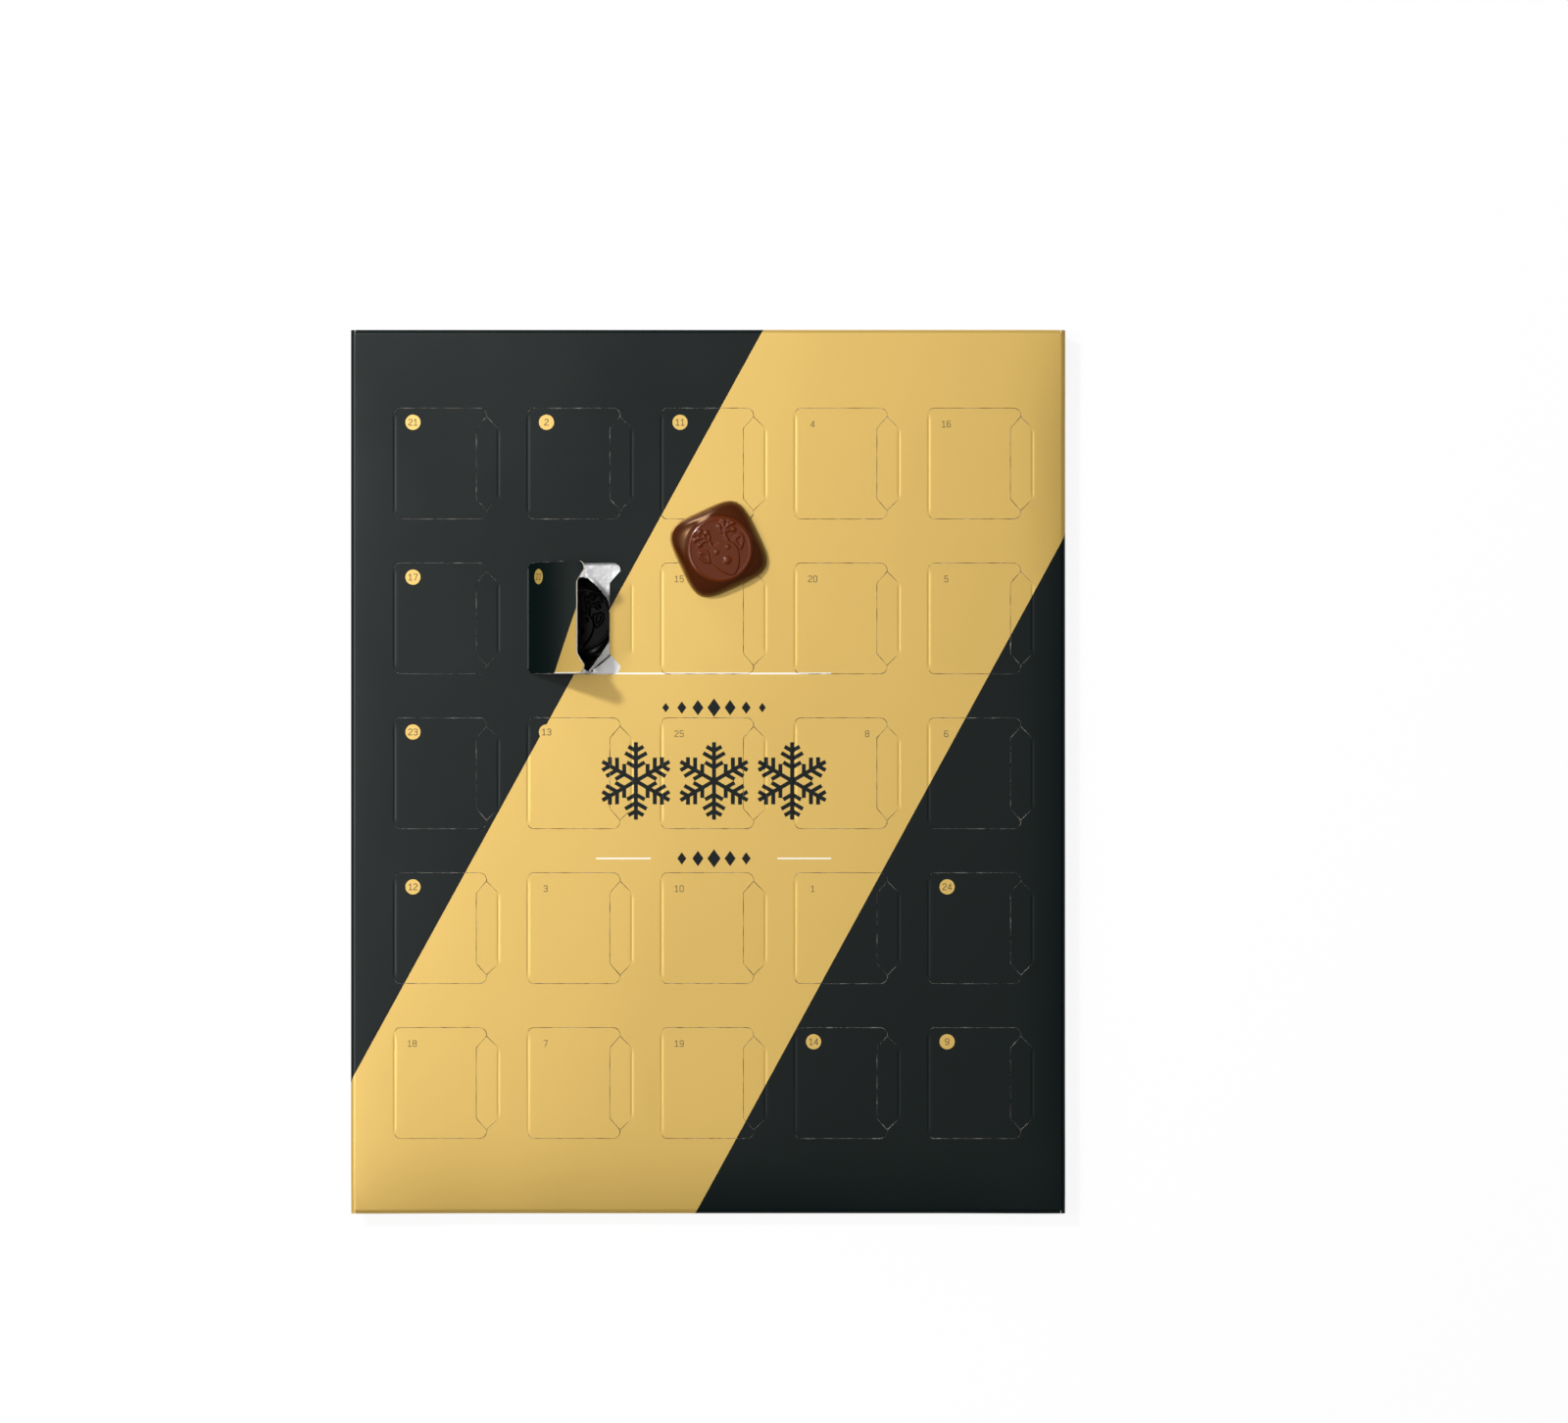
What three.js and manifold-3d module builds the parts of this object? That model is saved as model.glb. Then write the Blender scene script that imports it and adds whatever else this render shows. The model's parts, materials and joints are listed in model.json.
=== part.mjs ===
// An advent calendar, lying on its back: a folded board carton whose front has perforated doors,
// a thermoformed tray with one pocket for each door, a foil lid over the tray, and the moulded
// chocolates. One door stands open, its foil is torn, and its chocolate lies on the front.
// Millimetres. +Z points out of the printed front, +Y to its top edge and +X to its right edge.
// The origin is the centre of the carton's back face.

import * as THREE from 'three';
import Module from 'manifold-3d';
import { mergeVertices } from 'three/addons/utils/BufferGeometryUtils.js';

// Carton
const cartonWidth = 240;
const cartonHeight = 297;
const board = 0.5; // thickness of the carton board
const foldRadius = 1.5; // outside of a fold
const foldLand = 0.3; // flat board past a fold, before the next panel begins
const layGap = 0.1; // air between sheets that lie on each other
const edgeSetback = 0.2; // raw edges of the front and back, in from the carton's ends
const dustGap = 0.4; // between an end closure and the dust flaps behind it
const dustFlapLength = 28;
const tongueLength = 12; // tuck tongue of an end closure
const tongueInset = 14; // side edges of the tongue, in from the carton's sides
const glueFlapWidth = 11;
const headroom = 1.25; // between the foil and the inside of the front

// Doors: each is a leaf that hinges on its left, cut round a thumb flap that hinges on its right
const doorNumbers = [
  [21, 2, 11, 4, 16],
  [17, 22, 15, 20, 5],
  [23, 13, 25, 8, 6],
  [12, 3, 10, 1, 24],
  [18, 7, 19, 14, 9],
];
const openNumber = 22;
const leftMargin = 14.8; // carton's side to the first hinge
const rightMargin = 11.15; // last thumb flap's crease to the carton's side
const topMargin = 26.43;
const bottomMargin = 25.57;
const columnGap = 9.95; // board between a thumb flap's crease and the next door's hinge
const doorHeight = 37.2;
const tipOverhang = 3.45; // how far a leaf's two tips reach past the cut along its thumb flap
const creaseOverhang = 3.95; // from the tips to the thumb flap's crease
const hingeCornerRadius = 1.9;
const tipRadius = 2.4;
const tipFlat = 0.43; // straight edge below a tip's round corner
const chamferDrop = 3.94; // height of a thumb flap's pointed ends
const cutWidth = 0.3;
const openAngle = THREE.MathUtils.degToRad(51); // how far the open door stands up

// Chocolates: a rounded square that slopes in to a round medallion
const chocolateMargin = 3.375; // from a chocolate's side to its door's hinge or crease
const chocolateHeight = 7;
const medallionMargin = 3.15; // from a chocolate's side to its medallion
const medallionStep = 0.3;

// Tray and foil
const traySheet = 0.4;
const trayClearance = 0.4; // to the carton's walls and dust flaps
const trayCornerRadius = 3;
const skirtDraft = 1.5; // how far the tray's skirt leans in at its foot
const pocketClearance = 0.15; // round each chocolate
const backRecess = 0.35; // the chocolate's flat back, under the tray's top
const foilThickness = 0.15;
const foilMargin = 1.5; // foil's edge, in from the tray's edge
const foilCornerRadius = 2;

// The chocolate that was taken out lies across two closed doors of the middle column
const looseColumn = 2;
const looseFromHinge = 19.05;
const looseBelowGap = 2.7; // below the middle of the board between the two doors
const looseTurn = THREE.MathUtils.degToRad(25);

// A chocolate from its flat back to its medallion: share of the height, share of half its side,
// and the superellipse exponent that rounds the corners
const chocolateSectionShares = [
  [0, 1, 4.2],
  [0.42, 0.972, 4],
  [0.74, 0.9, 3.3],
  [0.93, 0.81, 2.4],
];

// The hole torn in the foil, as shares of half a chocolate's side from the pocket's centre
const tornHoleShares = [
  [0.06, 0.99], [-0.42, 0.93], [-0.8, 0.66], [-0.93, 0.1], [-0.88, -0.55], [-0.6, -0.92],
  [-0.1, -1.06], [0.2, -1.24], [0.4, -1.05], [0.54, -0.8], [0.68, -0.57], [0.7, -0.1],
  [0.69, 0.34], [0.58, 0.55], [0.44, 0.73], [0.26, 0.9],
];

// Fineness of the curved forms
const arcSteps = 3;
const pocketSides = 16;
const pocketRings = 2;
const looseSides = 32;
const looseRings = 6;
const overrun = 1; // how far a cutter reaches past the face that it cuts

// Sizes that follow
const rows = doorNumbers.length;
const columns = doorNumbers[0].length;
const columnPitch = (cartonWidth - leftMargin - rightMargin + columnGap) / columns;
const rowPitch = (cartonHeight - topMargin - bottomMargin - doorHeight) / (rows - 1);
const creaseReach = columnPitch - columnGap; // hinge to the thumb flap's crease
const leafReach = creaseReach - creaseOverhang;
const leafWaist = leafReach - tipOverhang;
const tipDrop = tipRadius + tipFlat;
const shoulderDrop = tipDrop + chamferDrop;
const halfWidth = cartonWidth / 2;
const halfHeight = cartonHeight / 2;
const halfDoor = doorHeight / 2;
const chocolateHalf = creaseReach / 2 - chocolateMargin;
const medallionRadius = chocolateHalf - medallionMargin;

// Levels above the carton's back face
const innerFlapUnder = board + layGap; // flaps and pockets that lie on the back panel
const skirtFoot = innerFlapUnder + board + layGap;
const pocketFloor = innerFlapUnder + traySheet;
const chocolateBack = pocketFloor + pocketClearance + chocolateHeight;
const trayTop = chocolateBack + backRecess;
const foilUnder = trayTop + layGap;
const cartonDepth = foilUnder + foilThickness + headroom + board;
const shoulderEnd = cartonDepth - foldRadius - foldLand;
const backShoulderEnd = foldRadius + foldLand;
const frontMiddle = cartonDepth - board / 2; // middle of the board's thickness
const backMiddle = board / 2;
const innerFlapMiddle = innerFlapUnder + board / 2;
const middleRadius = foldRadius - board / 2;

// Half sizes in the plan
const sideMiddle = halfWidth - board / 2;
const endMiddle = halfHeight - board / 2;
const endFoldStart = halfHeight - foldRadius - foldLand;
const dustOutside = halfHeight - board - dustGap;
const trayHalfWidth = halfWidth - board - trayClearance;
const trayHalfHeight = dustOutside - board - trayClearance;
const endClosureHalfWidth = halfWidth - foldRadius - layGap;

const wasm = await Module();
wasm.setup();

const blackBoard = new THREE.MeshStandardMaterial({ color: 0x26292b, roughness: 0.55 });
const goldBoard = new THREE.MeshStandardMaterial({ color: 0xdcb96c, roughness: 0.45 });
const blackTray = new THREE.MeshStandardMaterial({ color: 0x0b0d0d, roughness: 0.2 });
const silverFoil = new THREE.MeshStandardMaterial({ color: 0xd8d9db, roughness: 0.3, metalness: 1 });
const milkChocolate = new THREE.MeshStandardMaterial({ color: 0x4a2216, roughness: 0.25 });

// Points of a round corner, from the edge before it to the edge after it
function filletPoints(before, corner, after, radius) {
  const back = before.clone().sub(corner).normalize();
  const ahead = after.clone().sub(corner).normalize();
  const halfAngle = Math.acos(THREE.MathUtils.clamp(back.dot(ahead), -1, 1)) / 2;
  const reach = radius / Math.tan(halfAngle);
  const bisector = back.clone().add(ahead).normalize();
  const centre = corner.clone().addScaledVector(bisector, radius / Math.sin(halfAngle));
  const start = corner.clone().addScaledVector(back, reach).sub(centre);
  const end = corner.clone().addScaledVector(ahead, reach).sub(centre);
  const sweep = Math.atan2(start.cross(end), start.dot(end));
  const points = [];
  for (let step = 0; step <= arcSteps; step++) {
    points.push(start.clone().rotateAround(new THREE.Vector2(), (sweep * step) / arcSteps).add(centre));
  }
  return points;
}

// A closed outline from corners [x, y, radius]; a corner with no radius stays sharp
function roundedOutline(corners) {
  const places = corners.map(([x, y]) => new THREE.Vector2(x, y));
  return corners.flatMap(([, , radius], i) => {
    const before = places.at(i - 1);
    const after = places[(i + 1) % places.length];
    return radius ? filletPoints(before, places[i], after, radius) : [places[i]];
  });
}

function rectangleOutline(halfX, halfY, radius) {
  return roundedOutline([
    [-halfX, -halfY, radius], [halfX, -halfY, radius], [halfX, halfY, radius], [-halfX, halfY, radius],
  ]);
}

// Moves each point of a line square to its edges; on a closed anticlockwise line, outwards
function offsetPoints(points, distance, closed) {
  const last = points.length - 1;
  return points.map((point, i) => {
    const before = i > 0 || closed ? points.at(i - 1) : null;
    const after = i < last || closed ? points[(i + 1) % points.length] : null;
    const normals = [[before, point], [point, after]]
      .filter(([from, to]) => from && to)
      .map(([from, to]) => new THREE.Vector2(to.y - from.y, from.x - to.x).normalize());
    const middle = normals[0].clone().add(normals.at(-1)).normalize();
    return point.clone().addScaledVector(middle, distance / middle.dot(normals[0]));
  });
}

// Cross-section of folded board along the middle of its thickness, given by its ends and corners
function foldedStrip(stops) {
  const places = stops.map(([x, y]) => new THREE.Vector2(x, y));
  const middle = places.flatMap((place, i) => {
    const isCorner = i > 0 && i < places.length - 1;
    return isCorner ? filletPoints(places[i - 1], place, places[i + 1], middleRadius) : [place];
  });
  const right = offsetPoints(middle, board / 2, false);
  const left = offsetPoints(middle, -board / 2, false);
  return [...right, ...left.reverse()];
}

const alongX = new THREE.Matrix4().makeBasis(
  new THREE.Vector3(0, 1, 0), new THREE.Vector3(0, 0, 1), new THREE.Vector3(1, 0, 0));
const alongY = new THREE.Matrix4().makeBasis(
  new THREE.Vector3(1, 0, 0), new THREE.Vector3(0, 0, 1), new THREE.Vector3(0, -1, 0));

function extrude(outline, depth) {
  return new THREE.ExtrudeGeometry(new THREE.Shape(outline), { depth, bevelEnabled: false });
}

function extrudeUp(outline, low, high) {
  return extrude(outline, high - low).translate(0, 0, low);
}

// An outline in X and Z, run along Y about the middle of the carton
function extrudeAlongY(outline, halfLength) {
  return extrude(outline, 2 * halfLength).applyMatrix4(alongY).translate(0, halfLength, 0);
}

// An outline in Y and Z, run along X about the middle of the carton
function extrudeAlongX(outline, halfLength) {
  return extrude(outline, 2 * halfLength).applyMatrix4(alongX).translate(-halfLength, 0, 0);
}

// A closed solid through rings of points, lowest ring first, each anticlockwise from above
function loft(rings) {
  const count = rings[0].length;
  const triangles = [];
  for (let i = 1; i < count - 1; i++) {
    const top = (rings.length - 1) * count;
    triangles.push(0, i + 1, i, top, top + i, top + i + 1);
  }
  for (let ring = 0; ring < rings.length - 1; ring++) {
    for (let i = 0; i < count; i++) {
      const next = (i + 1) % count;
      const [a, b] = [ring * count + i, ring * count + next];
      triangles.push(a, b, b + count, a, b + count, a + count);
    }
  }
  const geometry = new THREE.BufferGeometry().setFromPoints(rings.flat());
  geometry.setIndex(triangles);
  return geometry;
}

function ringAt(outline, z) {
  return outline.map(({ x, y }) => new THREE.Vector3(x, y, z));
}

function superellipse(half, exponent, z, sides) {
  const along = (value) => half * Math.sign(value) * Math.abs(value) ** (2 / exponent);
  return Array.from({ length: sides }, (_, i) => {
    const angle = (2 * Math.PI * i) / sides;
    return new THREE.Vector3(along(Math.cos(angle)), along(Math.sin(angle)), z);
  });
}

function solidOf(geometry) {
  const bare = geometry.clone();
  bare.deleteAttribute('normal');
  bare.deleteAttribute('uv');
  const merged = mergeVertices(bare);
  return new wasm.Manifold(new wasm.Mesh({
    numProp: 3,
    vertProperties: merged.attributes.position.array,
    triVerts: new Uint32Array(merged.index.array),
  }));
}

function geometryOf(solid) {
  const { vertProperties, triVerts } = solid.getMesh();
  const geometry = new THREE.BufferGeometry();
  geometry.setAttribute('position', new THREE.BufferAttribute(vertProperties, 3));
  geometry.setIndex(new THREE.BufferAttribute(triVerts, 1));
  return geometry;
}

function joined(geometries) {
  return geometries.map(solidOf).reduce((whole, part) => whole.add(part));
}

// Doors, each with the places that its pieces are set by
function listDoors() {
  return doorNumbers.flatMap((row, rowIndex) => row.map((number, columnIndex) => {
    const hingeX = -halfWidth + leftMargin + columnIndex * columnPitch;
    const middleY = halfHeight - topMargin - halfDoor - rowIndex * rowPitch;
    const label = String(number).padStart(2, '0');
    return { number, label, hingeX, middleY, pocketX: hingeX + creaseReach / 2 };
  }));
}

// Leaf of a door, from its hinge at x = 0
function leafOutline() {
  return roundedOutline([
    [0, -halfDoor, hingeCornerRadius],
    [leafReach, -halfDoor, tipRadius],
    [leafReach, -halfDoor + tipDrop],
    [leafWaist, -halfDoor + shoulderDrop],
    [leafWaist, halfDoor - shoulderDrop],
    [leafReach, halfDoor - tipDrop],
    [leafReach, halfDoor, tipRadius],
    [0, halfDoor, hingeCornerRadius],
  ]);
}

// Leaf and thumb flap together
function doorwayOutline() {
  return roundedOutline([
    [0, -halfDoor, hingeCornerRadius],
    [leafReach, -halfDoor, tipRadius],
    [leafReach, -halfDoor + tipDrop],
    [creaseReach, -halfDoor + shoulderDrop],
    [creaseReach, halfDoor - shoulderDrop],
    [leafReach, halfDoor - tipDrop],
    [leafReach, halfDoor, tipRadius],
    [0, halfDoor, hingeCornerRadius],
  ]);
}

function thumbFlapOutline() {
  return roundedOutline([
    [leafWaist, -halfDoor + shoulderDrop],
    [leafReach, -halfDoor + tipDrop],
    [creaseReach, -halfDoor + shoulderDrop],
    [creaseReach, halfDoor - shoulderDrop],
    [leafReach, halfDoor - tipDrop],
    [leafWaist, halfDoor - shoulderDrop],
  ]);
}

// A thumb flap with a root that runs on past its crease into the front board
function rootedThumbFlap() {
  const flap = offsetPoints(thumbFlapOutline(), -cutWidth / 2, true);
  const creaseX = Math.max(...flap.map(({ x }) => x));
  const isCrease = ({ x }) => x > creaseX - cutWidth / 2;
  return flap.flatMap((point, i) => {
    if (!isCrease(point)) return [point];
    const past = new THREE.Vector2(creaseReach + cutWidth, point.y);
    return isCrease(flap.at(i - 1)) ? [past, point] : [point, past];
  });
}

// Front of the carton: folds down at both sides, with a doorway cut for each door
function frontPanelSolid(doors) {
  const section = foldedStrip([
    [-sideMiddle, shoulderEnd],
    [-sideMiddle, frontMiddle],
    [sideMiddle, frontMiddle],
    [sideMiddle, shoulderEnd],
  ]);
  let panel = solidOf(extrudeAlongY(section, halfHeight - edgeSetback));
  const endDepth = foldRadius + foldLand;
  const endCut = extrudeUp(
    rectangleOutline(halfWidth - foldRadius, endDepth, 0), shoulderEnd, cartonDepth + overrun);
  for (const side of [-1, 1]) {
    panel = panel.subtract(solidOf(endCut.clone().translate(0, side * (endFoldStart + endDepth), 0)));
  }
  const underside = cartonDepth - board;
  const doorway = offsetPoints(doorwayOutline(), cutWidth / 2, true);
  const opening = extrudeUp(doorway, underside - overrun, cartonDepth + overrun);
  const thumbFlap = extrudeUp(rootedThumbFlap(), underside, cartonDepth);
  for (const { number, hingeX, middleY } of doors) {
    panel = panel.subtract(solidOf(opening.clone().translate(hingeX, middleY, 0)));
    if (number !== openNumber) panel = panel.add(solidOf(thumbFlap.clone().translate(hingeX, middleY, 0)));
  }
  return panel;
}

// Back of the carton: a raw edge on the left, over which the glue flap lies, and a fold on the right
function backPanelGeometry() {
  const section = foldedStrip([
    [-halfWidth + edgeSetback, backMiddle],
    [sideMiddle, backMiddle],
    [sideMiddle, backShoulderEnd],
  ]);
  return extrudeAlongY(section, halfHeight - edgeSetback);
}

// Side wall with a dust flap at each end, for the side of the carton that `side` gives, -1 or 1
function sideWallGeometry(side, low) {
  const flapX = side * (halfWidth - dustFlapLength);
  const wallX = side * sideMiddle;
  const dustMiddle = dustOutside - board / 2;
  const plan = foldedStrip([
    [flapX, -dustMiddle], [wallX, -dustMiddle], [wallX, dustMiddle], [flapX, dustMiddle],
  ]);
  return extrudeUp(plan, low, shoulderEnd);
}

// The left wall also carries the glue flap, folded in over the back panel
function leftSideSolid() {
  const section = foldedStrip([
    [-sideMiddle, shoulderEnd],
    [-sideMiddle, innerFlapMiddle],
    [-halfWidth + glueFlapWidth, innerFlapMiddle],
  ]);
  const glueFlap = extrudeAlongY(section, dustOutside - foldRadius);
  return joined([sideWallGeometry(-1, innerFlapUnder + foldRadius), glueFlap]);
}

// End closure at the top, `side` 1, or the bottom, -1: it folds off the front and tucks in at the back
function endClosureSolid(side) {
  const section = foldedStrip([
    [side * endFoldStart, frontMiddle],
    [side * endMiddle, frontMiddle],
    [side * endMiddle, innerFlapMiddle],
    [side * endFoldStart, innerFlapMiddle],
  ]);
  const wall = extrudeAlongX(section, endClosureHalfWidth);
  const tongueRoot = halfHeight - foldRadius;
  const tongueEnd = halfHeight - tongueLength;
  const tongue = extrudeUp(
    rectangleOutline(halfWidth - tongueInset, (tongueRoot - tongueEnd) / 2, 0),
    innerFlapUnder, innerFlapUnder + board);
  tongue.translate(0, (side * (tongueRoot + tongueEnd)) / 2, 0);
  return joined([wall, tongue]);
}

// Sections of a chocolate that lies on its flat back, grown by `clearance`
function chocolateRings(intervals, sides, clearance) {
  const profile = new THREE.CatmullRomCurve3(
    chocolateSectionShares.map((shares) => new THREE.Vector3(...shares)), false, 'centripetal');
  return profile.getPoints(intervals).map(({ x: heightShare, y: halfShare, z: exponent }) => (
    superellipse(chocolateHalf * halfShare + clearance, exponent, chocolateHeight * heightShare, sides)));
}

// `medallion` gives the radius and height of each ring of the round face
function chocolateGeometry(intervals, sides, medallion) {
  const faceRings = medallion.map(([radius, z]) => superellipse(radius, 2, z, sides));
  return loft([...chocolateRings(intervals, sides, 0), ...faceRings]);
}

// Space of one pocket, or with `wall` the outside of its sheet; the chocolate lies in it face down.
// `above` carries the space on past the tray's top.
function pocketGeometry(wall, above) {
  const [mouth, ...rings] = chocolateRings(pocketRings, pocketSides, pocketClearance + wall);
  const levelled = (ring, z) => ring.map(({ x, y }) => new THREE.Vector3(x, y, z));
  const mouthHeights = above ? [-backRecess - above, -backRecess] : [-backRecess];
  return loft([
    ...mouthHeights.map((z) => levelled(mouth, z)),
    ...rings,
    levelled(rings.at(-1), chocolateHeight + pocketClearance + wall),
  ]).rotateX(Math.PI).translate(0, 0, chocolateBack);
}

// Tray: a flat top with a leaning skirt round it and the pockets hanging from it
function traySolid(doors) {
  const shell = (inset, foot, top) => loft([
    ringAt(rectangleOutline(trayHalfWidth - skirtDraft - inset, trayHalfHeight - skirtDraft - inset,
      trayCornerRadius), foot),
    ringAt(rectangleOutline(trayHalfWidth - inset, trayHalfHeight - inset, trayCornerRadius), top),
  ]);
  let tray = solidOf(shell(0, skirtFoot, trayTop));
  tray = tray.subtract(solidOf(shell(traySheet, skirtFoot - overrun, trayTop - traySheet)));
  const atPockets = (geometry) => wasm.Manifold.union(doors.map(({ pocketX, middleY }) => (
    solidOf(geometry.clone().translate(pocketX, middleY, 0)))));
  tray = tray.add(atPockets(pocketGeometry(traySheet, 0)));
  return tray.subtract(atPockets(pocketGeometry(0, overrun)));
}

// Foil lid, torn over the open door's pocket
function foilGeometry(doors) {
  const { pocketX, middleY } = doors.find(({ number }) => number === openNumber);
  const sheet = new THREE.Shape(
    rectangleOutline(trayHalfWidth - foilMargin, trayHalfHeight - foilMargin, foilCornerRadius));
  sheet.holes.push(new THREE.Path(tornHoleShares.map(([across, up]) => (
    new THREE.Vector2(pocketX + across * chocolateHalf, middleY + up * chocolateHalf)))));
  return new THREE.ExtrudeGeometry(sheet, { depth: foilThickness, bevelEnabled: false })
    .translate(0, 0, foilUnder);
}

function namedMesh(name, geometry, material) {
  const mesh = new THREE.Mesh(geometry, material);
  mesh.name = name;
  return mesh;
}

function buildCarton(doors) {
  const carton = new THREE.Group();
  carton.add(
    namedMesh('front_panel', geometryOf(frontPanelSolid(doors)), goldBoard),
    namedMesh('back_panel', backPanelGeometry(), blackBoard),
    namedMesh('left_side_panel', geometryOf(leftSideSolid()), blackBoard),
    namedMesh('right_side_panel', sideWallGeometry(1, backShoulderEnd), blackBoard),
    namedMesh('top_end_closure', geometryOf(endClosureSolid(1)), goldBoard),
    namedMesh('bottom_end_closure', geometryOf(endClosureSolid(-1)), goldBoard),
  );
  return carton;
}

function buildDoors(doors) {
  const leaf = extrudeUp(offsetPoints(leafOutline(), -cutWidth / 2, true), -board, 0);
  const group = new THREE.Group();
  for (const { number, label, hingeX, middleY } of doors) {
    const door = namedMesh(`door_${label}`, leaf, goldBoard);
    door.position.set(hingeX, middleY, cartonDepth);
    if (number === openNumber) door.rotation.y = -openAngle;
    group.add(door);
  }
  const { label, hingeX, middleY } = doors.find(({ number }) => number === openNumber);
  const flap = extrudeUp(offsetPoints(thumbFlapOutline(), -cutWidth / 2, true), -board, 0);
  const thumbFlap = namedMesh(`thumb_flap_${label}`, flap, goldBoard);
  thumbFlap.position.set(hingeX, middleY, cartonDepth);
  group.add(thumbFlap);
  return group;
}

function buildFilling(doors) {
  const group = new THREE.Group();
  group.add(
    namedMesh('tray', geometryOf(traySolid(doors)), blackTray),
    namedMesh('foil', foilGeometry(doors), silverFoil),
  );
  const sealed = chocolateGeometry(pocketRings, pocketSides, [[medallionRadius, chocolateHeight]]);
  for (const { label, pocketX, middleY } of doors.filter(({ number }) => number !== openNumber)) {
    const chocolate = namedMesh(`chocolate_${label}`, sealed, milkChocolate);
    chocolate.position.set(pocketX, middleY, chocolateBack);
    chocolate.rotation.x = Math.PI;
    group.add(chocolate);
  }
  return group;
}

// The chocolate from the open door, on its flat back on the front of the carton
function buildLooseChocolate() {
  const geometry = chocolateGeometry(looseRings, looseSides, [
    [medallionRadius, chocolateHeight - medallionStep],
    [medallionRadius - medallionStep, chocolateHeight],
  ]);
  const chocolate = namedMesh(`chocolate_${openNumber}`, geometry, milkChocolate);
  const betweenRowsY = halfHeight - topMargin - (doorHeight + rowPitch) / 2;
  chocolate.position.set(
    -halfWidth + leftMargin + looseColumn * columnPitch + looseFromHinge,
    betweenRowsY - looseBelowGap,
    cartonDepth + layGap);
  chocolate.rotation.z = looseTurn;
  return chocolate;
}

const doors = listDoors();
const calendar = new THREE.Group();
calendar.add(buildCarton(doors), buildDoors(doors), buildFilling(doors), buildLooseChocolate());

export default calendar;
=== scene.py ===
"""Looks of an advent calendar with moulded chocolates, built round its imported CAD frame.

The printed board is cut out of flat lines: a sheet is laid out unfolded, its edges, perforated cuts,
creases and print are lines in one flat mesh, and the sheet is then folded and pillowed into its place.
Sizes are in millimetres; the meshes are in metres, in the frame's own axes.
"""

from __future__ import annotations

import json
import logging
import math
import random
from collections.abc import Callable, Sequence
from dataclasses import dataclass, field
from enum import IntEnum

import bpy
import numpy as np
from bpy.types import Material, Mesh, Node, NodeSocket, NodeTree, Object
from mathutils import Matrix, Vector, geometry

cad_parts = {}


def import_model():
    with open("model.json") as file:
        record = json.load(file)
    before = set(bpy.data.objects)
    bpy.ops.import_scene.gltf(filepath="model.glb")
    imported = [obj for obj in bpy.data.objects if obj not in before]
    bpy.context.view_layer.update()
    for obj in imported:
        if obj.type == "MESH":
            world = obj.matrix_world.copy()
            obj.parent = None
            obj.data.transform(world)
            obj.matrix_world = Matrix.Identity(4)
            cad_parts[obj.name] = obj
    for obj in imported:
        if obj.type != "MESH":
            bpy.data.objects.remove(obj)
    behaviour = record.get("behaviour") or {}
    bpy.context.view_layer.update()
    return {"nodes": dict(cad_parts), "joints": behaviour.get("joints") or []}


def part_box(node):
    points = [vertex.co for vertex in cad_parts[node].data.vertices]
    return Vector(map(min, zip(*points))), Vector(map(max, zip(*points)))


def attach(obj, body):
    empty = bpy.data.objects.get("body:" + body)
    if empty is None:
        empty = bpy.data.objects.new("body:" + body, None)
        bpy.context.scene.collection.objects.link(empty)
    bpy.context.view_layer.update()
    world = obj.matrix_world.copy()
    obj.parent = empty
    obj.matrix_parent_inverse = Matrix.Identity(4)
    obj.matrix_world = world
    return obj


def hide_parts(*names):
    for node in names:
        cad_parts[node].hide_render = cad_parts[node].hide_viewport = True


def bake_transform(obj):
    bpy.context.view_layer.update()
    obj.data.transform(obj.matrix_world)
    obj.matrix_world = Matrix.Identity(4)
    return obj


MM = 0.001
CDT_WHOLE_HULL = 0  # the triangulation keeps every triangle, and the sheet picks its own
CDT_MERGE = 1e-5  # points closer than this become one
SLIVER = 1e-7  # twice the area of a triangle that is dropped
ON_SEAM = 1e-3  # how near a seam a point on it lies
SHORTEST_STEP = 0.04  # no two points of a resampled path lie closer
FOLD_STEPS = 6  # flat strips that make one fold round
FOLD_SPACING = 8.0  # between points along a fold
CREASE_SPACING = 1.6  # between points along a crease
CREASE_SETBACK = 0.05  # how far guides stop short of a crease's ends
BACK_POWER = 4.2  # how square a chocolate's back is, and its pocket's mouth
log = logging.getLogger("calendar")

Array = np.ndarray
Pair = tuple[float, float]
Triple = tuple[float, float, float]
Line = tuple[Pair, ...]


# Flat drawing


def smoothstep(values: Array, low: float, high: float) -> Array:
    """Eased step from 0 at low to 1 at high.

    Args:
        values: Numbers to ease.
        low: Where the step starts.
        high: Where the step ends.

    Returns:
        Numbers from 0 to 1.
    """
    share = np.clip((values - low) / (high - low), 0, 1)
    return share * share * (3 - 2 * share)


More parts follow.
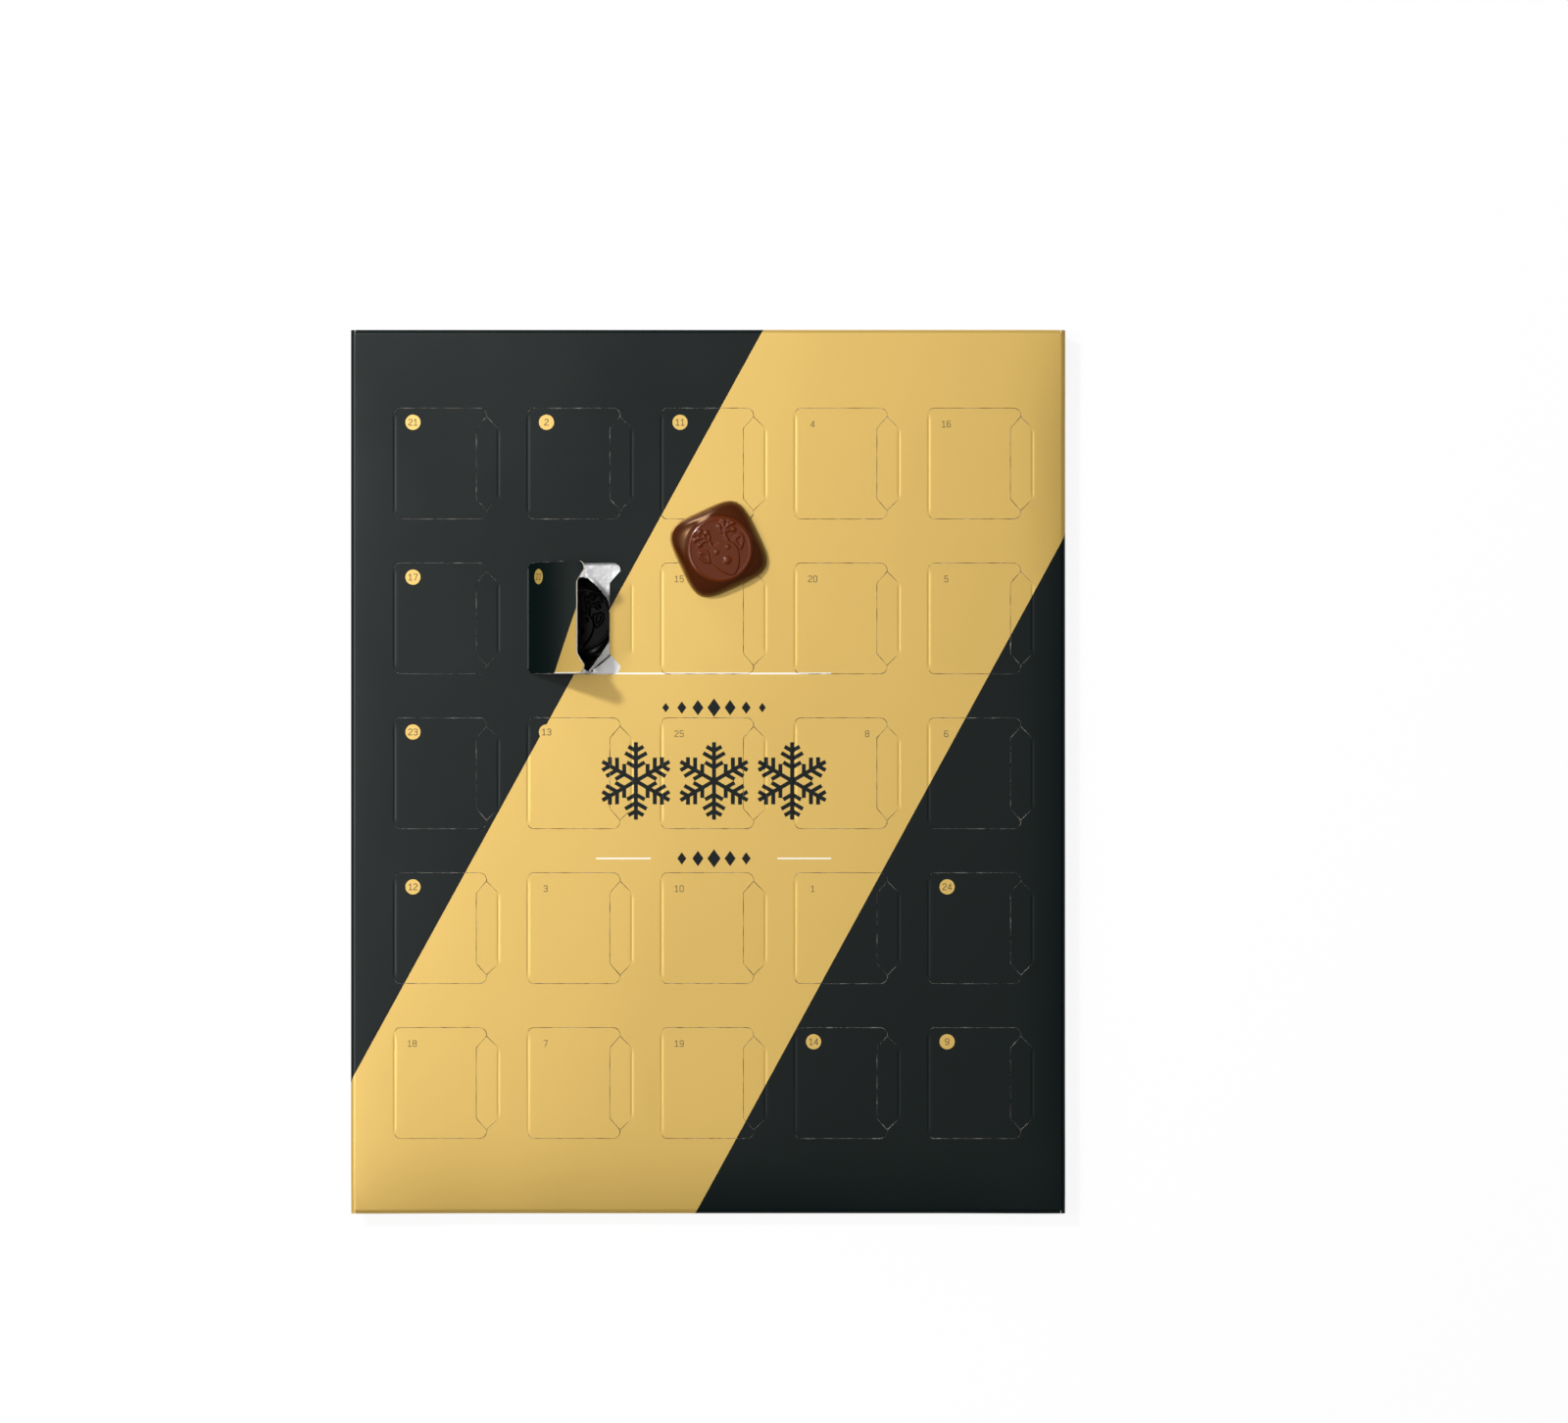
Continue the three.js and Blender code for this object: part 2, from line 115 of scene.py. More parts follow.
def fillet(before: Array, corner: Array, after: Array, radius: float, steps: int) -> list[Array]:
    """Points of a round corner.

    Args:
        before: A point on the edge that leads to the corner.
        corner: The sharp corner.
        after: A point on the edge that leaves it.
        radius: Radius of the round.
        steps: Straight pieces in the round.

    Returns:
        The points from the first edge to the second.
    """
    back = (before - corner) / np.linalg.norm(before - corner)
    ahead = (after - corner) / np.linalg.norm(after - corner)
    half = math.acos(float(np.clip(back @ ahead, -1, 1))) / 2
    bisector = (back + ahead) / np.linalg.norm(back + ahead)
    centre = corner + bisector * radius / math.sin(half)
    start = corner + back * radius / math.tan(half) - centre
    end = corner + ahead * radius / math.tan(half) - centre
    sweep = math.atan2(start[0] * end[1] - start[1] * end[0], float(start @ end))
    points = []
    for step in range(steps + 1):
        angle = sweep * step / steps
        cos, sin = math.cos(angle), math.sin(angle)
        points.append(centre + np.array([start[0] * cos - start[1] * sin, start[0] * sin + start[1] * cos]))
    return points


def rounded(corners: Sequence[Triple], closed: bool = True, steps: int = 7) -> Array:
    """A line through corners, each given with the radius that rounds it.

    Args:
        corners: x, y and radius of each corner; radius 0 stays sharp.
        closed: Whether the line ends where it starts.
        steps: Straight pieces in each round.

    Returns:
        The points of the line.
    """
    places = [np.array([x, y], float) for x, y, _ in corners]
    points: list[Array] = []
    for i, (_, _, radius) in enumerate(corners):
        at_end = not closed and i in (0, len(corners) - 1)
        if radius and not at_end:
            points += fillet(places[i - 1], places[i], places[(i + 1) % len(places)], radius, steps)
        else:
            points.append(places[i])
    return np.array(points)


def along(path: Array, closed: bool) -> Array:
    """Length run at each point of a path, with the whole length last when it is closed."""
    ends = np.vstack([path, path[:1]]) if closed else path
    return np.concatenate([[0], np.cumsum(np.linalg.norm(np.diff(ends, axis=0), axis=1))])


def resample(path: Array, spacing: float, closed: bool, extra: Sequence[float] = ()) -> tuple[Array, Array]:
    """The same path with more points, its own corners kept.

    Args:
        path: Points of the path.
        spacing: Longest step between points.
        closed: Whether the path closes on itself.
        extra: Lengths along the path that get a point of their own.

    Returns:
        The points, and the length run at each of them.
    """
    run = along(path, closed)
    ends = np.vstack([path, path[:1]]) if closed else path
    stops = list(run if not closed else run[:-1]) + [s for s in extra if 0 < s < run[-1]]
    for low, high in zip(run[:-1], run[1:]):
        count = int((high - low) // spacing)
        stops += [low + (high - low) * i / (count + 1) for i in range(1, count + 1)]
    kept = [min(stops)]
    for stop in sorted(stops):
        if stop - kept[-1] > SHORTEST_STEP:
            kept.append(stop)
    stations = np.array(kept)
    return np.column_stack([np.interp(stations, run, ends[:, k]) for k in (0, 1)]), stations


def offset(path: Array, distances: Array | float, closed: bool) -> Array:
    """Moves each point of a path to its right, square to the path.

    Args:
        path: Points of the path.
        distances: How far each point moves.
        closed: Whether the path closes on itself.

    Returns:
        The moved points.
    """
    before = np.roll(path, 1, axis=0)
    after = np.roll(path, -1, axis=0)
    if not closed:
        before[0], after[-1] = path[0], path[-1]
    into, out = path - before, after - path
    if not closed:
        into[0], out[-1] = out[0], into[-1]
    into /= np.linalg.norm(into, axis=1)[:, None]
    out /= np.linalg.norm(out, axis=1)[:, None]
    middle = into + out
    middle /= np.linalg.norm(middle, axis=1)[:, None]
    reach = np.asarray(distances) / np.maximum(np.sum(middle * into, axis=1), 0.5)
    return path + np.column_stack([middle[:, 1], -middle[:, 0]]) * reach[:, None]


def inside(loop: Array, points: Array) -> Array:
    """Which points lie inside a closed loop.

    Args:
        loop: Points of the loop.
        points: Points to test.

    Returns:
        True for each point inside.
    """
    result = np.zeros(len(points), bool)
    near = np.all((points >= loop.min(0)) & (points <= loop.max(0)), axis=1)
    if near.any():
        a, b = loop, np.roll(loop, -1, axis=0)
        x, y = points[near][:, 0, None], points[near][:, 1, None]
        crossed = (a[:, 1] > y) != (b[:, 1] > y)
        rise = np.where(b[:, 1] == a[:, 1], 1, b[:, 1] - a[:, 1])
        at = a[:, 0] + (y - a[:, 1]) * (b[:, 0] - a[:, 0]) / rise
        result[near] = np.sum(crossed & (x < at), axis=1) % 2 == 1
    return result


def edge_distance(path: Array, points: Array, closed: bool) -> Array:
    """Distance from each point to the nearest place on a path.

    Args:
        path: Points of the path.
        points: Points to measure from.
        closed: Whether the path closes on itself.

    Returns:
        The distances.
    """
    ends = np.vstack([path, path[:1]]) if closed else path
    nearest = np.full(len(points), np.inf)
    for a, b in zip(ends[:-1], ends[1:]):
        step = b - a
        share = np.clip((points - a) @ step / max(float(step @ step), 1e-9), 0, 1)
        nearest = np.minimum(nearest, np.linalg.norm(points - a - share[:, None] * step, axis=1))
    return nearest


def smooth_line(points: Sequence[Pair], closed: bool, steps: int = 6) -> Array:
    """A smooth line through a few points (Catmull-Rom).

    Args:
        points: The points.
        closed: Whether the line ends where it starts.
        steps: Straight pieces from one point to the next.

    Returns:
        The points of the line.
    """
    knots = np.array(points, float)
    count = len(knots)
    found = []
    for i in range(count if closed else count - 1):
        picks = [i - 1, i, i + 1, i + 2]
        a, b, c, d = (knots[k % count] if closed else knots[min(max(k, 0), count - 1)] for k in picks)
        for t in np.arange(steps) / steps:
            found.append(0.5 * (2 * b + (c - a) * t + (2 * a - 5 * b + 4 * c - d) * t**2
                                + (3 * b - a - 3 * c + d) * t**3))
    if not closed:
        found.append(knots[-1])
    return np.array(found)


def superellipse(half: float, exponent: float, sides: int) -> Array:
    """A rounded square about the origin.

    Args:
        half: Half of its side.
        exponent: 2 is a circle; more is squarer.
        sides: Points round it.

    Returns:
        Its points, anticlockwise.
    """
    angles = np.arange(sides) * 2 * np.pi / sides
    cos, sin = np.cos(angles), np.sin(angles)
    return half * np.column_stack([np.sign(cos) * np.abs(cos) ** (2 / exponent),
                                   np.sign(sin) * np.abs(sin) ** (2 / exponent)])


def at_level(ring: Array, level: float) -> Array:
    """Flat points, all at one height."""
    return np.column_stack([ring, np.full(len(ring), level)])


def round_box(half_width: float, half_height: float, corner: float) -> Array:
    """A rectangle with round corners about the origin, anticlockwise."""
    signs = ((-1, -1), (1, -1), (1, 1), (-1, 1))
    return rounded([(x * half_width, y * half_height, corner) for x, y in signs])


def straight(start: Pair, end: Pair, spacing: float) -> Array:
    """A straight line with points no further apart than spacing."""
    return resample(np.array([start, end]), spacing, False)[0]


def grid(across: Triple, up: Triple) -> Array:
    """Points of a grid, from the first, the end and the step of each of its sides."""
    return np.array([(x, y) for x in np.arange(*across) for y in np.arange(*up)])


def crease_guides(x: float, middle: float, half_width: float, end: float,
                  shares: Sequence[float]) -> list[Array]:
    """Lines along a crease that let it be pressed in.

    Args:
        x: Where the crease is.
        middle: Its middle's y.
        half_width: Half of its width.
        end: Half of its length.
        shares: How far out each line lies, in half widths.

    Returns:
        The lines.
    """
    reach = end - CREASE_SETBACK
    places = [x + share * half_width for share in shares]
    return [straight((u, middle - reach), (u, middle + reach), CREASE_SPACING) for u in places]


# Print


class Ink(IntEnum):
    """What a face of the board shows."""

    BLACK = 0
    GOLD = 1
    WHITE = 2
    LINE = 3
    CORE = 4
    INSIDE = 5
    WORN_BLACK = 6
    # The strip beside a cut on gold, dark brown as painted shade of the cut.
    WORN_GOLD = 7


@dataclass(frozen=True)
class Patch:
    """An area of the print."""

    ink: Ink
    loop: Array


@dataclass(frozen=True)
class DoorPlace:
    """Where a door is on the front, from the frame's hinge."""

    number: int
    hinge_x: float
    middle_y: float
    is_open: bool
    pocket_reach: float = 17.425

    @property
    def at(self) -> Array:
        """The middle of its crease."""
        return np.array([self.hinge_x, self.middle_y])

    @property
    def pocket(self) -> Array:
        """The middle of the pocket under it."""
        return np.array([self.hinge_x + self.pocket_reach, self.middle_y])


class Glyphs:
    """Digits drawn as strokes in a box one unit high."""

    WIDTH = 0.56
    GAP = 0.3
    CAP = 0.45
    LINES: dict[str, list[list[Pair]]] = {
        "0": [[(0.13, 0), (0.43, 0), (0.56, 0.14), (0.56, 0.86), (0.43, 1), (0.13, 1), (0, 0.86), (0, 0.14),
               (0.13, 0)]],
        "1": [[(0.06, 0.8), (0.3, 1), (0.3, 0)], [(0.06, 0), (0.54, 0)]],
        "2": [[(0, 0.84), (0.14, 1), (0.42, 1), (0.56, 0.86), (0.56, 0.66), (0, 0.14), (0, 0), (0.56, 0)]],
        "3": [[(0, 0.87), (0.13, 1), (0.43, 1), (0.56, 0.87), (0.56, 0.64), (0.44, 0.53), (0.2, 0.53)],
              [(0.44, 0.53), (0.56, 0.4), (0.56, 0.13), (0.43, 0), (0.13, 0), (0, 0.13)]],
        "4": [[(0.44, 0), (0.44, 1), (0, 0.34), (0, 0.26), (0.56, 0.26)]],
        "5": [[(0.52, 1), (0.04, 1), (0.02, 0.55), (0.42, 0.6), (0.56, 0.46), (0.56, 0.14), (0.43, 0),
               (0.13, 0), (0, 0.12)]],
        "6": [[(0.52, 0.9), (0.42, 1), (0.13, 1), (0, 0.86), (0, 0.14), (0.13, 0), (0.43, 0), (0.56, 0.14),
               (0.56, 0.42), (0.43, 0.56), (0.13, 0.56), (0, 0.44)]],
        "7": [[(0, 1), (0.56, 1), (0.56, 0.88), (0.2, 0)]],
        "8": [[(0.13, 0.53), (0, 0.66), (0, 0.87), (0.13, 1), (0.43, 1), (0.56, 0.87), (0.56, 0.66),
               (0.43, 0.53), (0.13, 0.53), (0, 0.4), (0, 0.13), (0.13, 0), (0.43, 0), (0.56, 0.13),
               (0.56, 0.4), (0.43, 0.53)]],
        "9": [[(0.04, 0.1), (0.14, 0), (0.43, 0), (0.56, 0.14), (0.56, 0.86), (0.43, 1), (0.13, 1),
               (0, 0.86), (0, 0.58), (0.13, 0.44), (0.43, 0.44), (0.56, 0.56)]],
    }

    @staticmethod
    def strokes(line: Sequence[Pair], width: float, cap: float) -> list[Array]:
        """Turns a bent line into one bar for each straight piece.

        Args:
            line: Points of the line.
            width: Width of the bars.
            cap: How far a bar runs past its ends, in widths.

        Returns:
            The four corners of each bar.
        """
        bars = []
        for a, b in zip(np.array(line[:-1], float), np.array(line[1:], float)):
            ahead = (b - a) / np.linalg.norm(b - a)
            side = np.array([-ahead[1], ahead[0]]) * width / 2
            a, b = a - ahead * width * cap, b + ahead * width * cap
            bars.append(np.array([a - side, b - side, b + side, a + side]))
        return bars

    @classmethod
    def number(cls, number: int, centre: Array, height: float, width: float) -> list[Array]:
        """Bars that write a number.

        Args:
            number: The number.
            centre: Middle of the writing.
            height: Height of a digit.
            width: Width of a stroke.

        Returns:
            The corners of each bar.
        """
        text = str(number)
        advance = (cls.WIDTH + cls.GAP) * height
        whole = advance * len(text) - cls.GAP * height
        bars = []
        for place, digit in enumerate(text):
            start = centre + np.array([place * advance - whole / 2, -height / 2])
            for line in cls.LINES[digit]:
                bars += cls.strokes([tuple(start + height * np.array(p)) for p in line], width, cls.CAP)
        return bars


@dataclass
class Artwork:
    """Print of the carton: black, a slanting gold band, plain ornaments, rules and door numbers."""

    doors: list[DoorPlace]
    door_height: float
    band_left: Triple = (-120.0, -103.97, 1.8218)
    band_right: Triple = (120.0, 79.8, 1.8346)
    printed_half_width: float = 127.4
    printed_half_height: float = 158.0
    badge_radius: float = 2.55
    digit_height: float = 2.0
    digit_stroke: float = 0.3
    plain_stroke_share: float = 0.85
    plain_shift: Pair = (-0.3, -0.6)
    number_from_hinge: float = 6.2
    number_from_top: float = 4.75
    odd_places: dict[int, float] = field(default_factory=lambda: {8: 24.5})
    band_spacing: float = 4.0
    rules: tuple[tuple[float, float, float, float], ...] = (
        (-44.9, 41.3, 33.05, 0.52), (-37.6, -19.2, -29.0, 0.46), (23.2, 41.3, -29.0, 0.46))
    ornament_centre: Pair = (2.0, -3.0)
    snowflake_span: float = 26.2
    snowflake_radius: float = 12.6
    snowflake_bar: float = 1.35
    snowflake_cap: float = 0.3
    snowflake_twigs: tuple[Pair, ...] = ((0.36, 0.24), (0.58, 0.3), (0.8, 0.2))
    diamond_rows: tuple[tuple[float, int], ...] = ((24.6, 7), (-26.0, 5))
    diamond_step: float = 5.4
    diamond_half: float = 3.1
    diamond_slimness: float = 0.72
    diamond_shrink: float = 0.16

    @staticmethod
    def line_x(line: Triple, y: float) -> float:
        """Where an edge of the band is at height y."""
        return line[0] + (y - line[1]) / line[2]

    def band(self) -> Array:
        """Outline of the gold band, carried on round the folds.

        Returns:
            Its corners.
        """
        half, top = self.printed_half_width, self.printed_half_height
        (lx, ly, ls), (rx, ry, rs) = self.band_left, self.band_right
        return np.array([
            (self.line_x(self.band_left, top), top), (-half, ly + (-half - lx) * ls), (-half, -top),
            (self.line_x(self.band_right, -top), -top), (half, ry + (half - rx) * rs), (half, top)])

    def gold_depth(self, point: Array) -> float:
        """How far inside the band a point lies.

        Args:
            point: The point.

        Returns:
            The depth, negative outside the band.
        """
        depths = []
        for (x, y, slope), sign in ((self.band_left, 1), (self.band_right, -1)):
            across = (point[0] - x) * slope - (point[1] - y)
            depths.append(sign * across / math.hypot(slope, 1))
        return min(depths)

    def number_centre(self, door: DoorPlace) -> Array:
        """Middle of a door's number."""
        across = self.odd_places.get(door.number, self.number_from_hinge)
        return np.array([door.hinge_x + across,
                         door.middle_y + self.door_height / 2 - self.number_from_top])

    def door_number(self, door: DoorPlace) -> list[Patch]:
        """A door's number, on a gold badge where the board is black.

        Args:
            door: The door.

        Returns:
            The patches of the number.
        """
        centre = self.number_centre(door)
        patches = []
        if self.gold_depth(centre) < self.badge_radius:
            patches.append(Patch(Ink.GOLD, centre + superellipse(self.badge_radius, 2, 32)))
        else:
            centre = centre + np.array(self.plain_shift)
        stroke = self.digit_stroke * (1 if patches else self.plain_stroke_share)
        bars = Glyphs.number(door.number, centre, self.digit_height, stroke)
        return patches + [Patch(Ink.LINE, bar) for bar in bars]

    def snowflake(self, centre: Array) -> list[Patch]:
        """A plain six-armed snowflake.

        Args:
            centre: Its middle.

        Returns:
            The patches of its bars.
        """
        radius = self.snowflake_radius
        patches = []
        for arm in range(6):
            angle = math.radians(90 + 60 * arm)
            ahead = np.array([math.cos(angle), math.sin(angle)])
            lines = [[centre, centre + ahead * radius]]
            for start, length in self.snowflake_twigs:
                for side in (-1, 1):
                    turn = angle + side * math.radians(60)
                    root = centre + ahead * radius * start
                    lines.append([root, root + radius * length * np.array([math.cos(turn), math.sin(turn)])])
            for line in lines:
                bars = Glyphs.strokes([tuple(p) for p in line], self.snowflake_bar, self.snowflake_cap)
                patches += [Patch(Ink.BLACK, bar) for bar in bars]
        return patches

    def diamonds(self, centre: Array, count: int) -> list[Patch]:
        """A row of diamonds, the middle one largest.

        Args:
            centre: Middle of the row.
            count: How many there are.

        Returns:
            Their patches.
        """
        patches, slim = [], self.diamond_slimness
        for i in range(count):
            away = abs(i - (count - 1) / 2)
            size = self.diamond_half * (1 - self.diamond_shrink * away)
            middle = centre + np.array([(i - (count - 1) / 2) * self.diamond_step, 0])
            loop = middle + np.array([(size * slim, 0), (0, size), (-size * slim, 0), (0, -size)])
            patches.append(Patch(Ink.BLACK, loop))
        return patches

    @staticmethod
    def rule(left: float, right: float, y: float, width: float) -> Patch:
        """A white rule."""
        half = width / 2
        return Patch(Ink.WHITE, np.array([(left, y - half), (right, y - half), (right, y + half),
                                          (left, y + half)]))

    def patches(self) -> list[Patch]:
        """The whole print.

        Returns:
            Its patches, lowest layer first.
        """
        centre = np.array(self.ornament_centre)
        found = [Patch(Ink.GOLD, resample(self.band(), self.band_spacing, True)[0])]
        for place in (-1, 0, 1):
            found += self.snowflake(centre + np.array([place * self.snowflake_span, 0]))
        for up, count in self.diamond_rows:
            found += self.diamonds(centre + np.array([0, up]), count)
        found += [self.rule(*rule) for rule in self.rules]
        for door in self.doors:
            found += self.door_number(door)
        return found


# Sheets


@dataclass(kw_only=True)
class FlatSheet:
    """The lines of a flat sheet, which cut its mesh."""

    edge: Array
    openings: list[Array] = field(default_factory=list)
    bare_edge: Array | None = None
    bare_openings: list[Array] = field(default_factory=list)
    patches: list[Patch] = field(default_factory=list)
    guides: list[Array] = field(default_factory=list)
    fillers: Array = field(default_factory=lambda: np.zeros((0, 2)))

    def flat_mesh(self) -> tuple[Array, Array, Array]:
        """Meshes the flat sheet.

        Returns:
            Flat points, triangles, and the ink of each triangle.
        """
        points: list[Array] = []
        edges: list[tuple[int, int]] = []

        def add(path: Array, closed: bool) -> None:
            """Adds a line.

            Args:
                path: Its points.
                closed: Whether it closes on itself.
            """
            first = sum(len(p) for p in points)
            count = len(path)
            points.append(path)
            steps = range(count if closed else count - 1)
            edges.extend((first + i, first + (i + 1) % count) for i in steps)

        low, high = self.edge.min(0), self.edge.max(0)
        patches = [p for p in self.patches if np.all(p.loop.max(0) > low) and np.all(p.loop.min(0) < high)]
        add(self.edge, True)
        for loop in [*self.openings, *self.bare_openings, *(p.loop for p in patches)]:
            add(loop, True)
        if self.bare_edge is not None:
            add(self.bare_edge, True)
        for guide in self.guides:
            add(guide, False)
        points.append(self.fillers)
        flat = [Vector((float(x), float(y))) for x, y in np.vstack(points)]
        verts, _, faces, *_ = geometry.delaunay_2d_cdt(flat, edges, [], CDT_WHOLE_HULL, CDT_MERGE)
        spots = np.array([(v.x, v.y) for v in verts])
        triangles = np.array([tuple(f) for f in faces if len(f) == 3])
        middles = spots[triangles].mean(axis=1)
        keep = inside(self.edge, middles)
        for loop in self.openings:
            keep &= ~inside(loop, middles)
        a, b, c = (spots[triangles[:, k]] for k in range(3))
        area = (b[:, 0] - a[:, 0]) * (c[:, 1] - a[:, 1]) - (b[:, 1] - a[:, 1]) * (c[:, 0] - a[:, 0])
        keep &= area > SLIVER
        triangles, middles = triangles[keep], middles[keep]
        whole = largest_piece(triangles, len(spots))
        triangles, middles = triangles[whole], middles[whole]
        inks = np.full(len(triangles), int(Ink.BLACK))
        for patch in patches:
            inks[inside(patch.loop, middles)] = int(patch.ink)
        # Triangles between a cut and its print take a worn ink: on black, real wear with paper flecks; on
        # gold, a dark brown that is painted shade of the cut.
        bare = np.zeros(len(triangles), bool)
        if self.bare_edge is not None:
            bare |= ~inside(self.bare_edge, middles)
        for loop in self.bare_openings:
            bare |= inside(loop, middles)
        inks[bare] = np.where(np.isin(inks[bare], (Ink.GOLD, Ink.WHITE)), int(Ink.WORN_GOLD),
                              int(Ink.WORN_BLACK))
        used, triangles = np.unique(triangles, return_inverse=True)
        return spots[used], triangles.reshape(-1, 3), inks


@dataclass(kw_only=True)
class Sheet(FlatSheet):
    """A sheet of board or foil and the way that it is brought into its place."""

    name: str
    place: Callable[[Array, Array, Array], Array]
    thickness: float
    seams: list[Triple] = field(default_factory=list)
    bevel: float = 0.05

    def on_seam(self, points: Array) -> Array:
        """Which flat points lie where this sheet runs on into another one.

        Args:
            points: Flat points.

        Returns:
            True for each point on a seam.
        """
        found = np.zeros(len(points), bool)
        x, y = points.T
        for seam_x, low, high in self.seams:
            found |= (np.abs(x - seam_x) < ON_SEAM) & (y > low - ON_SEAM) & (y < high + ON_SEAM)
        return found

    def build(self, finishes: dict[Ink, Material]) -> Object:
        """Makes the sheet's object.

        Args:
            finishes: The material of each ink.

        Returns:
            The new object, in its place.
        """
        spots, triangles, inks = self.flat_mesh()
        count = len(spots)
        pairs = np.concatenate([triangles[:, [0, 1]], triangles[:, [1, 2]], triangles[:, [2, 0]]])
        keys = pairs[:, 0].astype(np.int64) * count + pairs[:, 1]
        free = pairs[~np.isin(keys, pairs[:, 1].astype(np.int64) * count + pairs[:, 0])]
        seam = self.on_seam(spots)
        rim = np.zeros(count, bool)
        rim[free.ravel()] = True
        # Points of the worn strips, which on gold are dark as painted shade of the cut; only rim points on
        # them are bevelled down.
        on_wear_and_shade = np.zeros(count, bool)
        on_wear_and_shade[triangles[inks >= int(Ink.WORN_BLACK)].ravel()] = True
        rim &= on_wear_and_shade & ~seam
        front = self.place(spots[:, 0], spots[:, 1], np.where(rim, self.bevel, 0.0))
        back = self.place(spots[:, 0], spots[:, 1], np.full(count, self.thickness))
        walls = free[~(seam[free[:, 0]] & seam[free[:, 1]])]
        a, b = walls[:, 0], walls[:, 1]
        faces = [triangles, triangles[:, ::-1] + count, np.column_stack([a, a + count, b + count]),
                 np.column_stack([a, b + count, b])]
        slots = [inks, np.full(len(triangles), int(Ink.INSIDE)), np.full(2 * len(walls), int(Ink.CORE))]
        return mesh_object(self.name, np.vstack([front, back]), np.vstack(faces), finishes,
                           np.concatenate(slots))


def largest_piece(triangles: Array, count: int) -> Array:
    """Finds the one sheet among triangles, without the slivers that its cuts leave loose.

    Args:
        triangles: Corners of each triangle.
        count: How many points there are.

    Returns:
        Which triangles belong to the largest piece.
    """
    label = np.arange(count)
    while True:
        lower = label.copy()
        np.minimum.at(lower, triangles.ravel(), np.repeat(label[triangles].min(axis=1), 3))
        lower = lower[lower]
        if np.array_equal(lower, label):
            break
        label = lower
    of_each = label[triangles[:, 0]]
    return of_each == np.bincount(of_each).argmax()


def mesh_object(name: str, vertices: Array, faces: Array | list[tuple[int, ...]],
                finishes: dict[Ink, Material] | list[Material],
                slots: Array | None = None, sharp: float = 40.0) -> Object:
    """Makes a smooth-shaded object from points in millimetres.

    Args:
        name: Name of the object.
        vertices: Its points.
        faces: Its faces.
        finishes: Materials, by ink or in a list.
        slots: Which of them each face has; the first for all when left out.
        sharp: Angle in degrees above which an edge stays sharp.

    Returns:
        The new object.
    """
    mesh = bpy.data.meshes.new(name)
    mesh.from_pydata((vertices * MM).tolist(), [], [list(map(int, f)) for f in faces])
    table = finishes if isinstance(finishes, dict) else dict(enumerate(finishes))
    chosen = np.zeros(len(mesh.polygons), int) if slots is None else np.asarray(slots, int)
    used = sorted(set(chosen.tolist()))
    for ink in used:
        mesh.materials.append(table[ink])
    lookup = {ink: i for i, ink in enumerate(used)}
    mesh.polygons.foreach_set("material_index", [lookup[i] for i in chosen.tolist()])
    mesh.polygons.foreach_set("use_smooth", np.ones(len(mesh.polygons), bool))
    mesh.set_sharp_from_angle(angle=math.radians(sharp))
    split_print(mesh, chosen)
    mesh.update()
    made = bpy.data.objects.new(name, mesh)
    bpy.context.scene.collection.objects.link(made)
    return made


def split_print(mesh: Mesh, slots: Array) -> None:
    """Keeps the edge between print and the worn strip beside a cut crisp; on gold that strip is dark, as
    painted shade of the cut.

    Args:
        mesh: The mesh.
        slots: The ink of each face.
    """
    edge_of = np.empty(len(mesh.loops), int)
    mesh.loops.foreach_get("edge_index", edge_of)
    sides = np.empty(len(mesh.polygons), int)
    mesh.polygons.foreach_get("loop_total", sides)
    bare = np.repeat(slots >= int(Ink.WORN_BLACK), sides)
    mixed = (np.bincount(edge_of[bare], minlength=len(mesh.edges)) > 0) & (
        np.bincount(edge_of[~bare], minlength=len(mesh.edges)) > 0)
    crisp = np.empty(len(mesh.edges), bool)
    mesh.edges.foreach_get("use_edge_sharp", crisp)
    mesh.edges.foreach_set("use_edge_sharp", crisp | mixed)


def loft(rings: list[Array], first: int = 0) -> list[tuple[int, ...]]:
    """Joins rings of equal length, each anticlockwise seen from where the next one lies.

    Args:
        rings: The rings.
        first: Number of the first ring's first point.

    Returns:
        The faces between them.
    """
    count = len(rings[0])
    faces: list[tuple[int, ...]] = []
    for ring in range(len(rings) - 1):
        low, high = first + ring * count, first + (ring + 1) * count
        for i in range(count):
            j = (i + 1) % count
            faces.append((low + i, low + j, high + j, high + i))
    return faces


# Front of the carton


